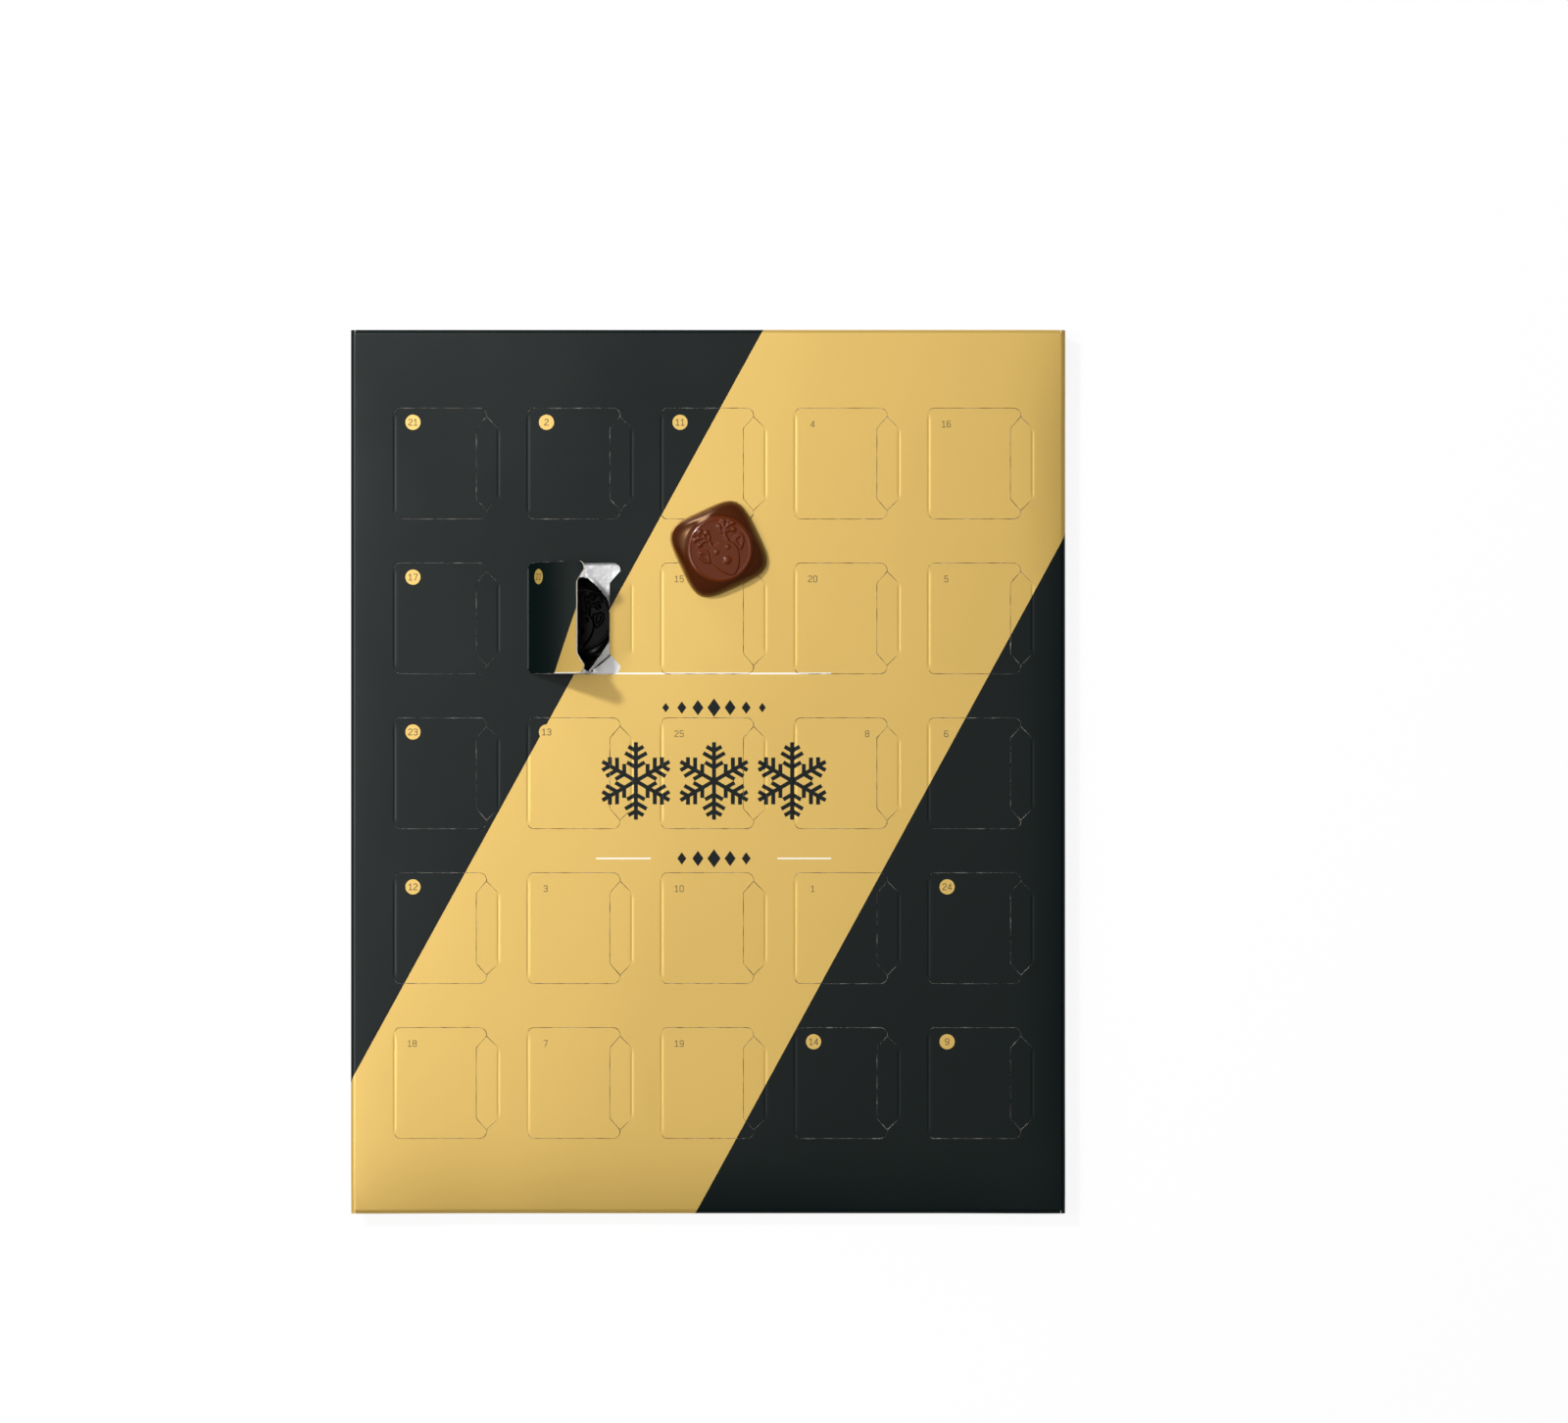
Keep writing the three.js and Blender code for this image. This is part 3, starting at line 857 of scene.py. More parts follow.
@dataclass
class DoorShape:
    """Outline of a door leaf and its thumb flap, from the hinge at x = 0."""

    height: float = 37.2
    crease_reach: float = 34.85
    crease_overhang: float = 3.95
    tip_overhang: float = 3.45
    hinge_corner: float = 1.9
    tip_radius: float = 2.4
    tip_flat: float = 0.43
    chamfer_drop: float = 3.94
    crease_half: float = 0.7
    flap_crease_half: float = 0.6
    gap: float = 0.062
    # Width of the worn strip beside each cut; on gold it is coloured dark as painted shade of the cut.
    bare: float = 0.04

    @property
    def half(self) -> float:
        """Half of the door's height."""
        return self.height / 2

    @property
    def reach(self) -> float:
        """Hinge to the leaf's tips."""
        return self.crease_reach - self.crease_overhang

    @property
    def waist(self) -> float:
        """Hinge to the cut along the thumb flap."""
        return self.reach - self.tip_overhang

    @property
    def tip_y(self) -> float:
        """Height of the tips, from the door's middle."""
        return self.half - self.tip_radius - self.tip_flat

    @property
    def shoulder_y(self) -> float:
        """Height of the thumb flap's crease ends, from the door's middle."""
        return self.tip_y - self.chamfer_drop

    @property
    def crease_end(self) -> float:
        """Height at which the leaf's cut runs out into its crease, from the door's middle."""
        return self.half - self.hinge_corner

    def cut_path(self) -> Array:
        """The leaf's cut.

        Returns:
            Its points, from the lower end of its crease round to the upper end.
        """
        return rounded([
            (0, -self.crease_end + 0.001, 0), (0, -self.half, self.hinge_corner - 0.002),
            (self.reach, -self.half, self.tip_radius), (self.reach, -self.tip_y, 0.25),
            (self.waist, -self.shoulder_y, 0.5), (self.waist, self.shoulder_y, 0.5),
            (self.reach, self.tip_y, 0.25), (self.reach, self.half, self.tip_radius),
            (0, self.half, self.hinge_corner - 0.002), (0, self.crease_end - 0.001, 0)],
            closed=False, steps=6)

    def perforated(self, seed: int) -> tuple[Array, Array, Array]:
        """The cut with its uneven width, closed at its ends and at the paper nicks.

        Args:
            seed: Seed of this door's cut.

        Returns:
            Points of the cut, the half width of its gap, and the width of the worn strip beside it, which on
            gold is dark as painted shade of the cut.
        """
        draw = random.Random(seed)
        path = self.cut_path()
        length = along(path, False)[-1]
        nicks, at = [], draw.uniform(2, 5)
        while at < length - 1:
            nicks.append(at)
            at += draw.uniform(3.4, 7.5)
        near = [nick + step for nick in nicks for step in (-0.42, -0.2, 0, 0.2, 0.42)]
        points, run = resample(path, 1.5, False, near)
        phase, tone = draw.uniform(0, 6), draw.uniform(0, 6)
        width = self.gap * (0.9 + 0.28 * np.sin(run * 1.7 + phase) + 0.2 * np.sin(run * 0.61 + tone))
        bare = self.bare * (0.9 + 0.9 * np.sin(run * 0.83 + tone) + 0.5 * np.sin(run * 2.3 + phase))
        for nick in nicks:
            width *= 1 - 0.92 * np.exp(-((run - nick) / 0.26) ** 2)
        ends = smoothstep(run, 0, 1.2) * smoothstep(length - run, 0, 1.2)
        return points, width * ends, np.clip(bare, 0.006, None) * np.clip(ends, 0.05, 1)

    def cut_loops(self, seed: int, side: int) -> tuple[Array, Array]:
        """One side of the leaf's cut.

        Args:
            seed: Seed of this door's cut.
            side: 1 for the board round the leaf, -1 for the leaf itself.

        Returns:
            Its edge, and the edge of its print.
        """
        points, width, bare = self.perforated(seed)
        root = np.array([(-self.crease_half, self.crease_end), (-self.crease_half, -self.crease_end)])
        edge, printed = (np.vstack([offset(points, side * out, False), root])
                         for out in (width, width + bare))
        return edge, printed

    def leaf_seam(self, door: DoorPlace) -> Triple:
        """Where a leaf runs on into the board: x, lowest y and highest y."""
        return (door.hinge_x - self.crease_half, door.middle_y - self.crease_end,
                door.middle_y + self.crease_end)

    def flap_seam(self, door: DoorPlace) -> Triple:
        """Where the open door's thumb flap runs on into the board: x, lowest y and highest y."""
        return (door.hinge_x + self.crease_reach + self.flap_crease_half, door.middle_y - self.shoulder_y,
                door.middle_y + self.shoulder_y)

    def flap_slits(self, half_width: float, run_on: float = 0) -> list[Array]:
        """The two cuts that run from the tips to the thumb flap's crease.

        Args:
            half_width: Half of their width at the tips.
            run_on: How far each goes on past its end.

        Returns:
            The loop of each.
        """
        slits = []
        for side in (-1, 1):
            tip = np.array([self.reach - 0.05, side * self.tip_y])
            end = np.array([self.crease_reach + run_on, side * (self.shoulder_y - run_on)])
            middle, across = (tip + end) / 2, np.array([half_width, half_width]) * (1, side)
            slits.append(np.array([tip - across, middle - across * 0.8, end, middle + across * 0.8,
                                   tip + across]))
        return slits

    def flap_area(self) -> Array:
        """Where the board is thumb flap, out past the leaf's cut."""
        return np.array([
            (self.waist - 1, -self.shoulder_y), (self.reach - 0.05, -self.tip_y),
            (self.crease_reach, -self.shoulder_y), (self.crease_reach, self.shoulder_y),
            (self.reach - 0.05, self.tip_y), (self.waist - 1, self.shoulder_y)])

    def open_flap_loop(self, gap: float) -> Array:
        """Edge of the open door's thumb flap, grown by gap.

        Args:
            gap: How far the edge lies outside the nominal cut; negative is inside it.

        Returns:
            The loop, anticlockwise, with its root past the crease.
        """
        root = self.crease_reach + self.flap_crease_half
        cut = rounded([
            (self.crease_reach, self.shoulder_y, 0), (self.reach, self.tip_y, 0.3),
            (self.waist, self.shoulder_y, 0.5), (self.waist, -self.shoulder_y, 0.5),
            (self.reach, -self.tip_y, 0.3), (self.crease_reach, -self.shoulder_y, 0)], closed=False, steps=4)
        cut, run = resample(cut, 1.5, False)
        ends = smoothstep(run, 0, 1) * smoothstep(run[-1] - run, 0, 1)
        tail = [(root, -self.shoulder_y), (root, self.shoulder_y)]
        return np.vstack([offset(cut, gap * ends, False), tail])


@dataclass
class FrontSurface:
    """Height of the printed front: the pillow of a filled carton, soft waves, and its creases."""

    depth: float
    half_width: float
    half_height: float
    shape: DoorShape
    doors: list[DoorPlace]
    pillow: tuple[float, float, float, float] = (0.12, 1.0, 0.06, 1.7)
    pillow_reach: tuple[float, float, float, float] = (16.0, 22.0, 16.0, 46.0)
    corner_reach: float = 45.0
    corner_share: float = 0.45
    wave: float = 0.045
    crease_depth: float = 0.07
    flap_crease_depth: float = 0.06
    leaf_tilts: dict[int, float] = field(default_factory=dict)
    flap_tilts: dict[int, float] = field(default_factory=dict)

    def __post_init__(self) -> None:
        """Draws how far each closed leaf and thumb flap stands proud, in degrees."""
        for door in self.doors:
            draw = random.Random(400 + door.number)
            self.leaf_tilts[door.number] = math.tan(math.radians(draw.uniform(-0.05, 0.25)))
            self.flap_tilts[door.number] = math.tan(math.radians(draw.uniform(-0.6, 0.5)))

    def board(self, x: Array, y: Array) -> Array:
        """Height of the board above the frame's flat front, without creases.

        Args:
            x: Where each point is across the front.
            y: Where it is up the front.

        Returns:
            The heights.
        """
        drop = np.zeros_like(x)
        wide, high = self.half_width, self.half_height
        reaches = (wide + x, wide - x, high - y, high + y)
        for i, (reach, deep, run) in enumerate(zip(reaches, self.pillow, self.pillow_reach)):
            corner = high - np.abs(y) if i < 2 else wide - np.abs(x)
            full = self.corner_share + (1 - self.corner_share) * smoothstep(corner, 0, self.corner_reach)
            drop += deep * full * np.clip(1 - reach / run, 0, 1.2) ** 4
        wave = (np.sin(x / 19 + 1.3) * np.sin(y / 27 + 0.7) + 0.7 * np.sin(x / 11 - y / 37 + 2)
                + 0.6 * np.sin(y / 13 + x / 41 + 4.1))
        calm = np.clip(np.minimum(self.half_width - np.abs(x), self.half_height - np.abs(y)) / 12, 0, 1)
        return -drop + self.wave * wave * calm

    def crease(self, away: Array, up: Array, half_width: float, end: float, depth: float) -> Array:
        """Depth of a pressed crease.

        Args:
            away: Distance from the crease's line.
            up: Distance along it from its middle.
            half_width: Half of its width.
            end: Half of its length.
            depth: How deep it is.

        Returns:
            Heights, 0 or less.
        """
        across = np.cos(np.clip(away / half_width, -1, 1) * np.pi / 2) ** 2
        return -depth * across * smoothstep(end - np.abs(up), 0, 1.3)

    def leaf(self, door: DoorPlace, x: Array, y: Array) -> Array:
        """Height of a closed leaf.

        Args:
            door: Its door.
            x: Where each point is across the front.
            y: Where it is up the front.

        Returns:
            The heights.
        """
        away, up = x - door.hinge_x, y - door.middle_y
        lift = self.leaf_tilts[door.number] * np.clip(away - 0.2, 0, None)
        return self.board(x, y) + lift + self.crease(
            away, up, self.shape.crease_half, self.shape.crease_end, self.crease_depth)

    def front(self, x: Array, y: Array) -> Array:
        """Height of the board round the leaves, with the closed thumb flaps.

        Args:
            x: Where each point is across the front.
            y: Where it is up the front.

        Returns:
            The heights.
        """
        height = self.board(x, y)
        spots = np.column_stack([x, y])
        for door in self.doors:
            if door.is_open:
                continue
            away = x - door.hinge_x - self.shape.crease_reach
            up = y - door.middle_y
            height += self.crease(away, up, self.shape.flap_crease_half, self.shape.shoulder_y,
                                  self.flap_crease_depth)
            area = self.shape.flap_area() + door.at
            on_flap = inside(area, spots)
            height[on_flap] += self.flap_tilts[door.number] * np.clip(-away[on_flap] - 0.2, 0, None)
        return height


@dataclass
class Fold:
    """A strip of board that bends square at each fold, measured along its outside."""

    flats: tuple[float, ...]
    radius: float

    @property
    def arc(self) -> float:
        """Length of one fold round its outside."""
        return self.radius * math.pi / 2

    def starts(self) -> list[float]:
        """Where each fold starts.

        Returns:
            Lengths along the strip.
        """
        found, run = [], 0.0
        for flat in self.flats[:-1]:
            found.append(run + flat)
            run += flat + self.arc
        return found

    def place(self, run: Array) -> tuple[Array, Array, Array]:
        """Follows the strip.

        Args:
            run: Lengths along it.

        Returns:
            How far across and down each point lies, and the angle that the board has turned there.
        """
        across, down, turn = np.array(run, float), np.zeros(len(run)), np.zeros(len(run))
        x = z = angle = 0.0
        start = 0.0
        for i, flat in enumerate(self.flats):
            ahead = run - start
            on = ahead >= 0
            across[on] = x + ahead[on] * math.cos(angle)
            down[on] = z + ahead[on] * math.sin(angle)
            turn[on] = angle
            x, z, start = x + flat * math.cos(angle), z + flat * math.sin(angle), start + flat
            if i == len(self.flats) - 1:
                break
            on = run >= start
            bend = angle + np.clip((run[on] - start) / self.radius, 0, math.pi / 2)
            across[on] = x + self.radius * (np.sin(bend) - math.sin(angle))
            down[on] = z - self.radius * (np.cos(bend) - math.cos(angle))
            turn[on] = bend
            x += self.radius * (math.sin(angle + math.pi / 2) - math.sin(angle))
            z -= self.radius * (math.cos(angle + math.pi / 2) - math.cos(angle))
            angle, start = angle + math.pi / 2, start + self.arc
        return across, down, turn


@dataclass
class CartonBlank:
    """The carton: one printed blank, folded round the sides and in at both ends."""

    surface: FrontSurface
    artwork: Artwork
    board: float = 0.5
    radius: float = 1.5
    side_setback: float = 0.2
    end_half_width: float = 118.4
    dust_start: float = 146.1
    dust_length: float = 26.0
    glue_width: float = 9.5
    tongue_inset: float = 14.0
    tongue_length: float = 10.5
    inner_level: float = 0.6
    shoulder: float = 0.3
    rim: float = 0.4
    filler_room: float = 1.2

    def __post_init__(self) -> None:
        """Works out the folds from the carton's size."""
        wide, high, deep = self.surface.half_width, self.surface.half_height, self.surface.depth
        front = wide - self.radius
        self.right = Fold((front, deep - 2 * self.radius, 2 * wide - self.radius - self.side_setback),
                          self.radius)
        self.left = Fold((front, deep - 2 * self.radius - self.inner_level, self.glue_width), self.radius)
        self.end = Fold((high - self.radius, deep - 2 * self.radius - self.inner_level, self.tongue_length),
                        self.radius)
        self.dust = Fold((self.dust_start, self.dust_length), self.radius)
        self.raw_y = high - self.side_setback

    def outline(self) -> Array:
        """Edge of the flat blank.

        Returns:
            Its points, anticlockwise.
        """
        fold_u = self.surface.half_width - self.radius
        wall_low = fold_u + self.right.arc + self.shoulder
        closure = self.end.starts()[1] + self.end.arc
        wall_end = {1: self.right.starts()[1] - self.shoulder, -1: self.left.starts()[1] - self.shoulder}
        last = {1: self.right.starts()[1] + self.right.arc + self.right.flats[2],
                -1: self.left.starts()[1] + self.left.arc + self.left.flats[2]}
        loop: list[Pair] = []
        for side, end in ((1, 1), (-1, 1), (-1, -1), (1, -1)):
            flap = self.dust_start + self.dust.arc + self.dust_length
            far = self.raw_y if side > 0 else self.dust_start
            corner = [
                (last[side], far), (wall_end[side] + 0.3, far), (wall_end[side] + 0.3, self.dust_start),
                (wall_end[side], self.dust_start), (wall_end[side], flap), (wall_low + 0.3, flap),
                (wall_low + 0.3, self.dust_start), (wall_low - 0.05, self.dust_start),
                (wall_low - 0.05, self.raw_y),
                *((fold_u + self.right.arc * step / FOLD_STEPS, self.raw_y)
                  for step in range(FOLD_STEPS, 0, -1)),
                (self.end_half_width + 0.1, self.raw_y), (self.end_half_width + 0.1, self.end.starts()[0]),
                (self.end_half_width, self.end.starts()[0]), (self.end_half_width, closure),
                (self.surface.half_width - self.tongue_inset, closure),
                (self.surface.half_width - self.tongue_inset - 1.5, closure + self.tongue_length)]
            points = [(side * u, end * v) for u, v in corner]
            loop += points if side * end > 0 else points[::-1]
        return resample(np.array(loop), 9.0, True)[0]

    def place(self, u: Array, v: Array, depth: Array) -> Array:
        """Folds flat points into the carton.

        Args:
            u: Flat x.
            v: Flat y.
            depth: How far each point lies under the outside of the board.

        Returns:
            Points in the frame.
        """
        side, end = np.where(u < 0, -1.0, 1.0), np.where(v < 0, -1.0, 1.0)
        au, av = np.abs(u), np.abs(v)
        wide, top = self.surface.half_width, self.surface.depth
        right, left = self.right.place(au), self.left.place(au)
        across, down, turn = (np.where(u < 0, b, a) for a, b in zip(right, left))
        clamped_x = np.clip(u, -wide, wide)
        clamped_y = np.clip(v, -self.surface.half_height, self.surface.half_height)
        lift = self.surface.front(clamped_x, clamped_y)
        keep = 1 - smoothstep(down, self.radius, top - self.radius)
        found = np.column_stack([
            side * (across - depth * np.sin(turn)), v,
            top + lift * keep - down - depth * np.cos(turn)])
        wall_low = wide - self.radius + self.right.arc + self.shoulder - 0.01
        wall_high = np.where(u < 0, self.left.starts()[1], self.right.starts()[1]) - self.shoulder + 0.31
        dust = (au > wall_low) & (au < wall_high) & (av > self.dust_start)
        out, inward, bend = self.dust.place(av)
        dusty = np.column_stack([
            side * (wide - inward - depth * np.cos(bend)), end * (out - depth * np.sin(bend)), found[:, 2]])
        found[dust] = dusty[dust]
        closure = (au < self.end_half_width + 0.05) & (av > self.end.starts()[0])
        out, fall, bend = self.end.place(av)
        keep = 1 - smoothstep(fall, self.radius, top - self.radius)
        closed = np.column_stack([
            u, end * (out - depth * np.sin(bend)), top + lift * keep - fall - depth * np.cos(bend)])
        found[closure] = closed[closure]
        return found

    def fold_lines(self) -> list[Array]:
        """Lines along the folds that keep them round, and a frame inside them that keeps the front flat.

        Returns:
            The lines.
        """
        lines = []
        inset = self.radius + self.rim
        u, v = self.surface.half_width - inset, self.surface.half_height - inset
        for sign in (1, -1):
            lines.append(straight((sign * u, -v), (sign * u, v), FOLD_SPACING))
            lines.append(straight((self.shoulder - u, sign * v), (u - self.shoulder, sign * v), FOLD_SPACING))
        for side, fold, reach in ((1, self.right, self.raw_y), (-1, self.left, self.dust_start)):
            for place, start in enumerate(fold.starts()):
                ends = self.raw_y - 0.05 if place == 0 else reach - 0.5
                for step in range(FOLD_STEPS + 1):
                    u = side * (start + fold.arc * step / FOLD_STEPS)
                    lines.append(straight((u, -ends), (u, ends), FOLD_SPACING))
        half = self.end_half_width
        for end in (1, -1):
            for start in self.end.starts():
                for step in range(FOLD_STEPS + 1):
                    v = end * (start + self.end.arc * step / FOLD_STEPS)
                    lines.append(straight((-half, v), (half, v), FOLD_SPACING))
            for side, fold in ((1, self.right), (-1, self.left)):
                low = self.right.starts()[0] + self.right.arc + self.shoulder + 0.3
                high = fold.starts()[1] - self.shoulder
                for step in range(FOLD_STEPS + 1):
                    v = end * (self.dust_start + self.dust.arc * step / FOLD_STEPS)
                    lines.append(np.array([(side * low, v), (side * high, v)]))
        return lines

    def crease_lines(self) -> list[Array]:
        """Lines along each closed thumb flap's crease.

        Returns:
            The lines.
        """
        shape, lines = self.surface.shape, []
        for door in self.surface.doors:
            if not door.is_open:
                lines += crease_guides(
                    door.hinge_x + shape.crease_reach, door.middle_y, shape.flap_crease_half,
                    shape.shoulder_y, (-1.7, -1, -0.66, -0.33, 0, 0.33, 0.66, 1, 1.7))
        return lines

    def fillers(self) -> Array:
        """Inner points that let the board pillow and wave.

        Returns:
            The points, on the front and on the back.
        """
        first = self.right.starts()[1] + self.right.arc
        back = grid((first + 12, first + self.right.flats[2] - 6, 16.0), (-140, 141, 14.0))
        return np.vstack([grid((-114, 117, 6.0), (-144, 147, 6.0)), back])

    def build(self, finishes: dict[Ink, Material]) -> Object:
        """Makes the carton.

        Args:
            finishes: The material of each ink.

        Returns:
            The carton's object, which stands for its board nodes.
        """
        shape = self.surface.shape
        openings, bare, seams = [], [], []
        for door in self.surface.doors:
            edge, printed = shape.cut_loops(door.number, 1)
            openings.append(edge + door.at)
            bare.append(printed + door.at)
            seams.append(shape.leaf_seam(door))
            if door.is_open:
                openings.append(shape.open_flap_loop(-shape.gap)[::-1] + door.at)
                seams.append(shape.flap_seam(door))
            else:
                slit_half = shape.gap * 0.7
                openings += [slit + door.at for slit in shape.flap_slits(slit_half)]
                bare += [slit + door.at for slit in shape.flap_slits(slit_half + shape.bare, 0.1)]
        guides, fillers = self.fold_lines() + self.crease_lines(), self.fillers()
        near = np.vstack(guides + openings)
        clear = [np.min(np.hypot(*(near - spot).T)) > self.filler_room for spot in fillers]
        sheet = Sheet(
            name="carton_blank", edge=self.outline(), place=self.place, thickness=self.board,
            openings=openings, bare_openings=bare, patches=self.artwork.patches(),
            guides=guides, fillers=fillers[clear], seams=seams)
        made = sheet.build(finishes)
        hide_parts("front_panel", "back_panel", "left_side_panel", "right_side_panel",
                    "top_end_closure", "bottom_end_closure")
        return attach(made, "carton")


@dataclass
class DoorLeaf:
    """One door leaf, creased along its left and cut round the rest."""

    surface: FrontSurface
    artwork: Artwork
    door: DoorPlace
    board: float = 0.5
    lean: Triple = (55.0, 47.5, 38.0)

    @property
    def body(self) -> str:
        """Name of the frame's node for this door, which the leaf hides."""
        return f"door_{self.door.number:02d}"

    def closed_place(self, u: Array, v: Array, depth: Array) -> Array:
        """Brings flat points of a closed leaf into the frame."""
        return np.column_stack([u, v, self.surface.depth + self.surface.leaf(self.door, u, v) - depth])

    def open_place(self, u: Array, v: Array, depth: Array) -> Array:
        """Brings flat points of the open leaf into the frame: it bends at its crease and curls a little.

        Args:
            u: Flat x.
            v: Flat y.
            depth: How far each point lies under the outside of the board.

        Returns:
            Points in the frame.
        """
        shape = self.surface.shape
        run = np.linspace(-shape.crease_half, shape.reach + 0.2, 400)
        lean = np.interp(run, (0, shape.waist, shape.reach), self.lean) * smoothstep(run, -0.3, 0.95)
        angle = np.radians(lean)
        step = run[1] - run[0]
        across, up = (np.concatenate([[0], np.cumsum((wave(angle[1:]) + wave(angle[:-1])) / 2 * step)])
                      for wave in (np.cos, np.sin))
        across = run[0] + across
        s = u - self.door.hinge_x
        a = np.interp(s, run, angle)
        height = self.surface.board(u, v) * (1 - smoothstep(s, 0, 6))
        return np.column_stack([
            self.door.hinge_x + np.interp(s, run, across) + depth * np.sin(a), v,
            self.surface.depth + height + np.interp(s, run, up) - depth * np.cos(a)])

    def build(self, finishes: dict[Ink, Material]) -> Object:
        """Makes the leaf.

        Args:
            finishes: The material of each ink.

        Returns:
            The leaf's object.
        """
        shape, door = self.surface.shape, self.door
        at = door.at
        edge, printed = shape.cut_loops(door.number, -1)
        guides = crease_guides(0, 0, shape.crease_half, shape.crease_end,
                               (-0.66, -0.33, 0, 0.33, 0.66, 1, 1.7))
        sheet = Sheet(
            name=f"leaf_{door.number:02d}", edge=edge + at, bare_edge=printed + at,
            place=self.open_place if door.is_open else self.closed_place, thickness=self.board,
            patches=self.artwork.patches(), guides=[guide + at for guide in guides],
            fillers=grid((3.2, shape.waist, 5.0), (-15.6, 16, 5.2)) + at, seams=[shape.leaf_seam(door)])
        made = sheet.build(finishes)
        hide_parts(self.body)
        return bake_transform(made)


@dataclass
class ThumbFlap:
    """The open door's thumb flap, still flat, creased along its right."""

    surface: FrontSurface
    artwork: Artwork
    door: DoorPlace
    board: float = 0.5
    tilt: float = 0.6

    @property
    def body(self) -> str:
        """Name of the frame's node for this flap, which the flap hides."""
        return f"thumb_flap_{self.door.number:02d}"

    def place(self, u: Array, v: Array, depth: Array) -> Array:
        """Brings flat points into the frame.

        Args:
            u: Flat x.
            v: Flat y.
            depth: How far each point lies under the outside of the board.

        Returns:
            Points in the frame.
        """
        shape = self.surface.shape
        away = u - self.door.hinge_x - shape.crease_reach
        lift = math.tan(math.radians(self.tilt)) * np.clip(-away - 0.3, 0, None)
        crease = self.surface.crease(away, v - self.door.middle_y, shape.flap_crease_half, shape.shoulder_y,
                                     self.surface.flap_crease_depth)
        return np.column_stack([u, v, self.surface.depth + self.surface.board(u, v) + lift + crease - depth])

    def build(self, finishes: dict[Ink, Material]) -> Object:
        """Makes the flap.

        Args:
            finishes: The material of each ink.

        Returns:
            The flap's object.
        """
        shape, door = self.surface.shape, self.door
        at = door.at
        guides = crease_guides(shape.crease_reach, 0, shape.flap_crease_half, shape.shoulder_y,
                               (-1, -0.66, -0.33, 0, 0.33, 0.66))
        sheet = Sheet(
            name=self.body + "_board", edge=shape.open_flap_loop(shape.gap) + at,
            bare_edge=shape.open_flap_loop(shape.gap + 2 * shape.bare) + at, place=self.place,
            thickness=self.board, patches=self.artwork.patches(),
            guides=[guide + at for guide in guides], seams=[shape.flap_seam(door)])
        made = sheet.build(finishes)
        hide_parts(self.body)
        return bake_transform(made)


# Filling


@dataclass
class ReindeerRelief:
    """A plain reindeer's head, raised on a chocolate's round face.

    Its lines are those of one half. A size is a radius and a height.
    """

    centre: Pair = (0.6, 0.0)
    slope: float = 0.26
    crown: Pair = (0, 2.5)
    cheek: Line = ((1.6, 2.2), (3.1, 1.7), (4.1, 0.5), (4.8, -1.3), (4.8, -3.3), (3.7, -6.2), (1.9, -8.6))
    chin: Pair = (0, -9.7)
    face_height: float = 0.34
    ear: Line = ((4.4, 1.1), (5.8, 1.9), (7.5, 2.2), (8.4, 1.1), (7.9, -0.8), (6.7, -2.3), (5.3, -2.8))
    ear_height: float = 0.4
    hollow: Line = ((5.6, 0.7), (6.6, 1.1), (7.5, 1.0), (7.0, -0.5), (6.1, -1.5), (5.5, -0.8))
    hollow_depth: float = 0.28
    beam: Line = ((2.9, 2.0), (2.8, 3.6), (3.5, 5.1), (4.9, 6.1), (6.7, 6.4))
    beam_size: Pair = (0.65, 0.36)
    beam_end: Pair = (6.9, 6.3)
    tines: tuple[Line, ...] = (
        ((3.0, 4.2), (2.1, 5.5), (2.4, 7.0)), ((3.8, 5.4), (3.7, 6.8), (4.3, 8.1)),
        ((5.2, 6.2), (5.7, 7.3), (6.4, 7.7)), ((3.2, 4.4), (4.8, 4.7), (6.2, 4.2)))
    tine_size: Pair = (0.5, 0.32)
    knob_size: Pair = (1.05, 0.42)
    eye: Pair = (2.05, -0.3)
    eye_size: Pair = (0.95, 0.3)
    nose: Pair = (0, -4.2)
    nose_size: Pair = (1.5, 0.4)

    def plateau(self, loop: Line, points: Array, height: float) -> Array:
        """A raised area with soft sides, inside a smooth line through loop."""
        edge = smooth_line(loop, True)
        return height * np.where(
            inside(edge, points), smoothstep(edge_distance(edge, points, True), 0, self.slope), 0)

    def ridge(self, line: Line, points: Array, radius: float, height: float) -> Array:
        """A round ridge along a smooth line through line."""
        away = edge_distance(smooth_line(line, False), points, False)
        return height * np.sqrt(np.clip(1 - (away / radius) ** 2, 0, 1))

    def dome(self, middle: Pair, points: Array, radius: float, height: float) -> Array:
        """A round bump, the same curve all over so that it takes a broad glint."""
        away = np.hypot(points[:, 0] - middle[0], points[:, 1] - middle[1])
        return height * np.clip(1 - (away / radius) ** 2, 0, 1)

    def height(self, points: Array) -> Array:
        """Height of the drawing above the chocolate's face.

        Args:
            points: Points on the face, from its middle.

        Returns:
            The height at each point.
        """
        local = points - np.array(self.centre)
        both = np.column_stack([np.abs(local[:, 0]), local[:, 1]])
        outline = (self.crown, *self.cheek, self.chin, *((-x, y) for x, y in self.cheek[::-1]))
        face = self.plateau(outline, local, self.face_height)
        ears = (self.plateau(self.ear, both, self.ear_height)
                - self.plateau(self.hollow, both, self.hollow_depth))
        horns = self.ridge(self.beam, both, *self.beam_size)
        for tine in self.tines:
            horns = np.maximum(horns, self.ridge(tine, both, *self.tine_size))
        for end in (self.beam_end, *(tine[-1] for tine in self.tines)):
            horns = np.maximum(horns, self.dome(end, both, *self.knob_size))
        bumps = np.maximum(self.dome(self.eye, both, *self.eye_size),
                           self.dome(self.nose, both, *self.nose_size))
        return np.maximum(face + bumps, np.maximum(ears, horns))


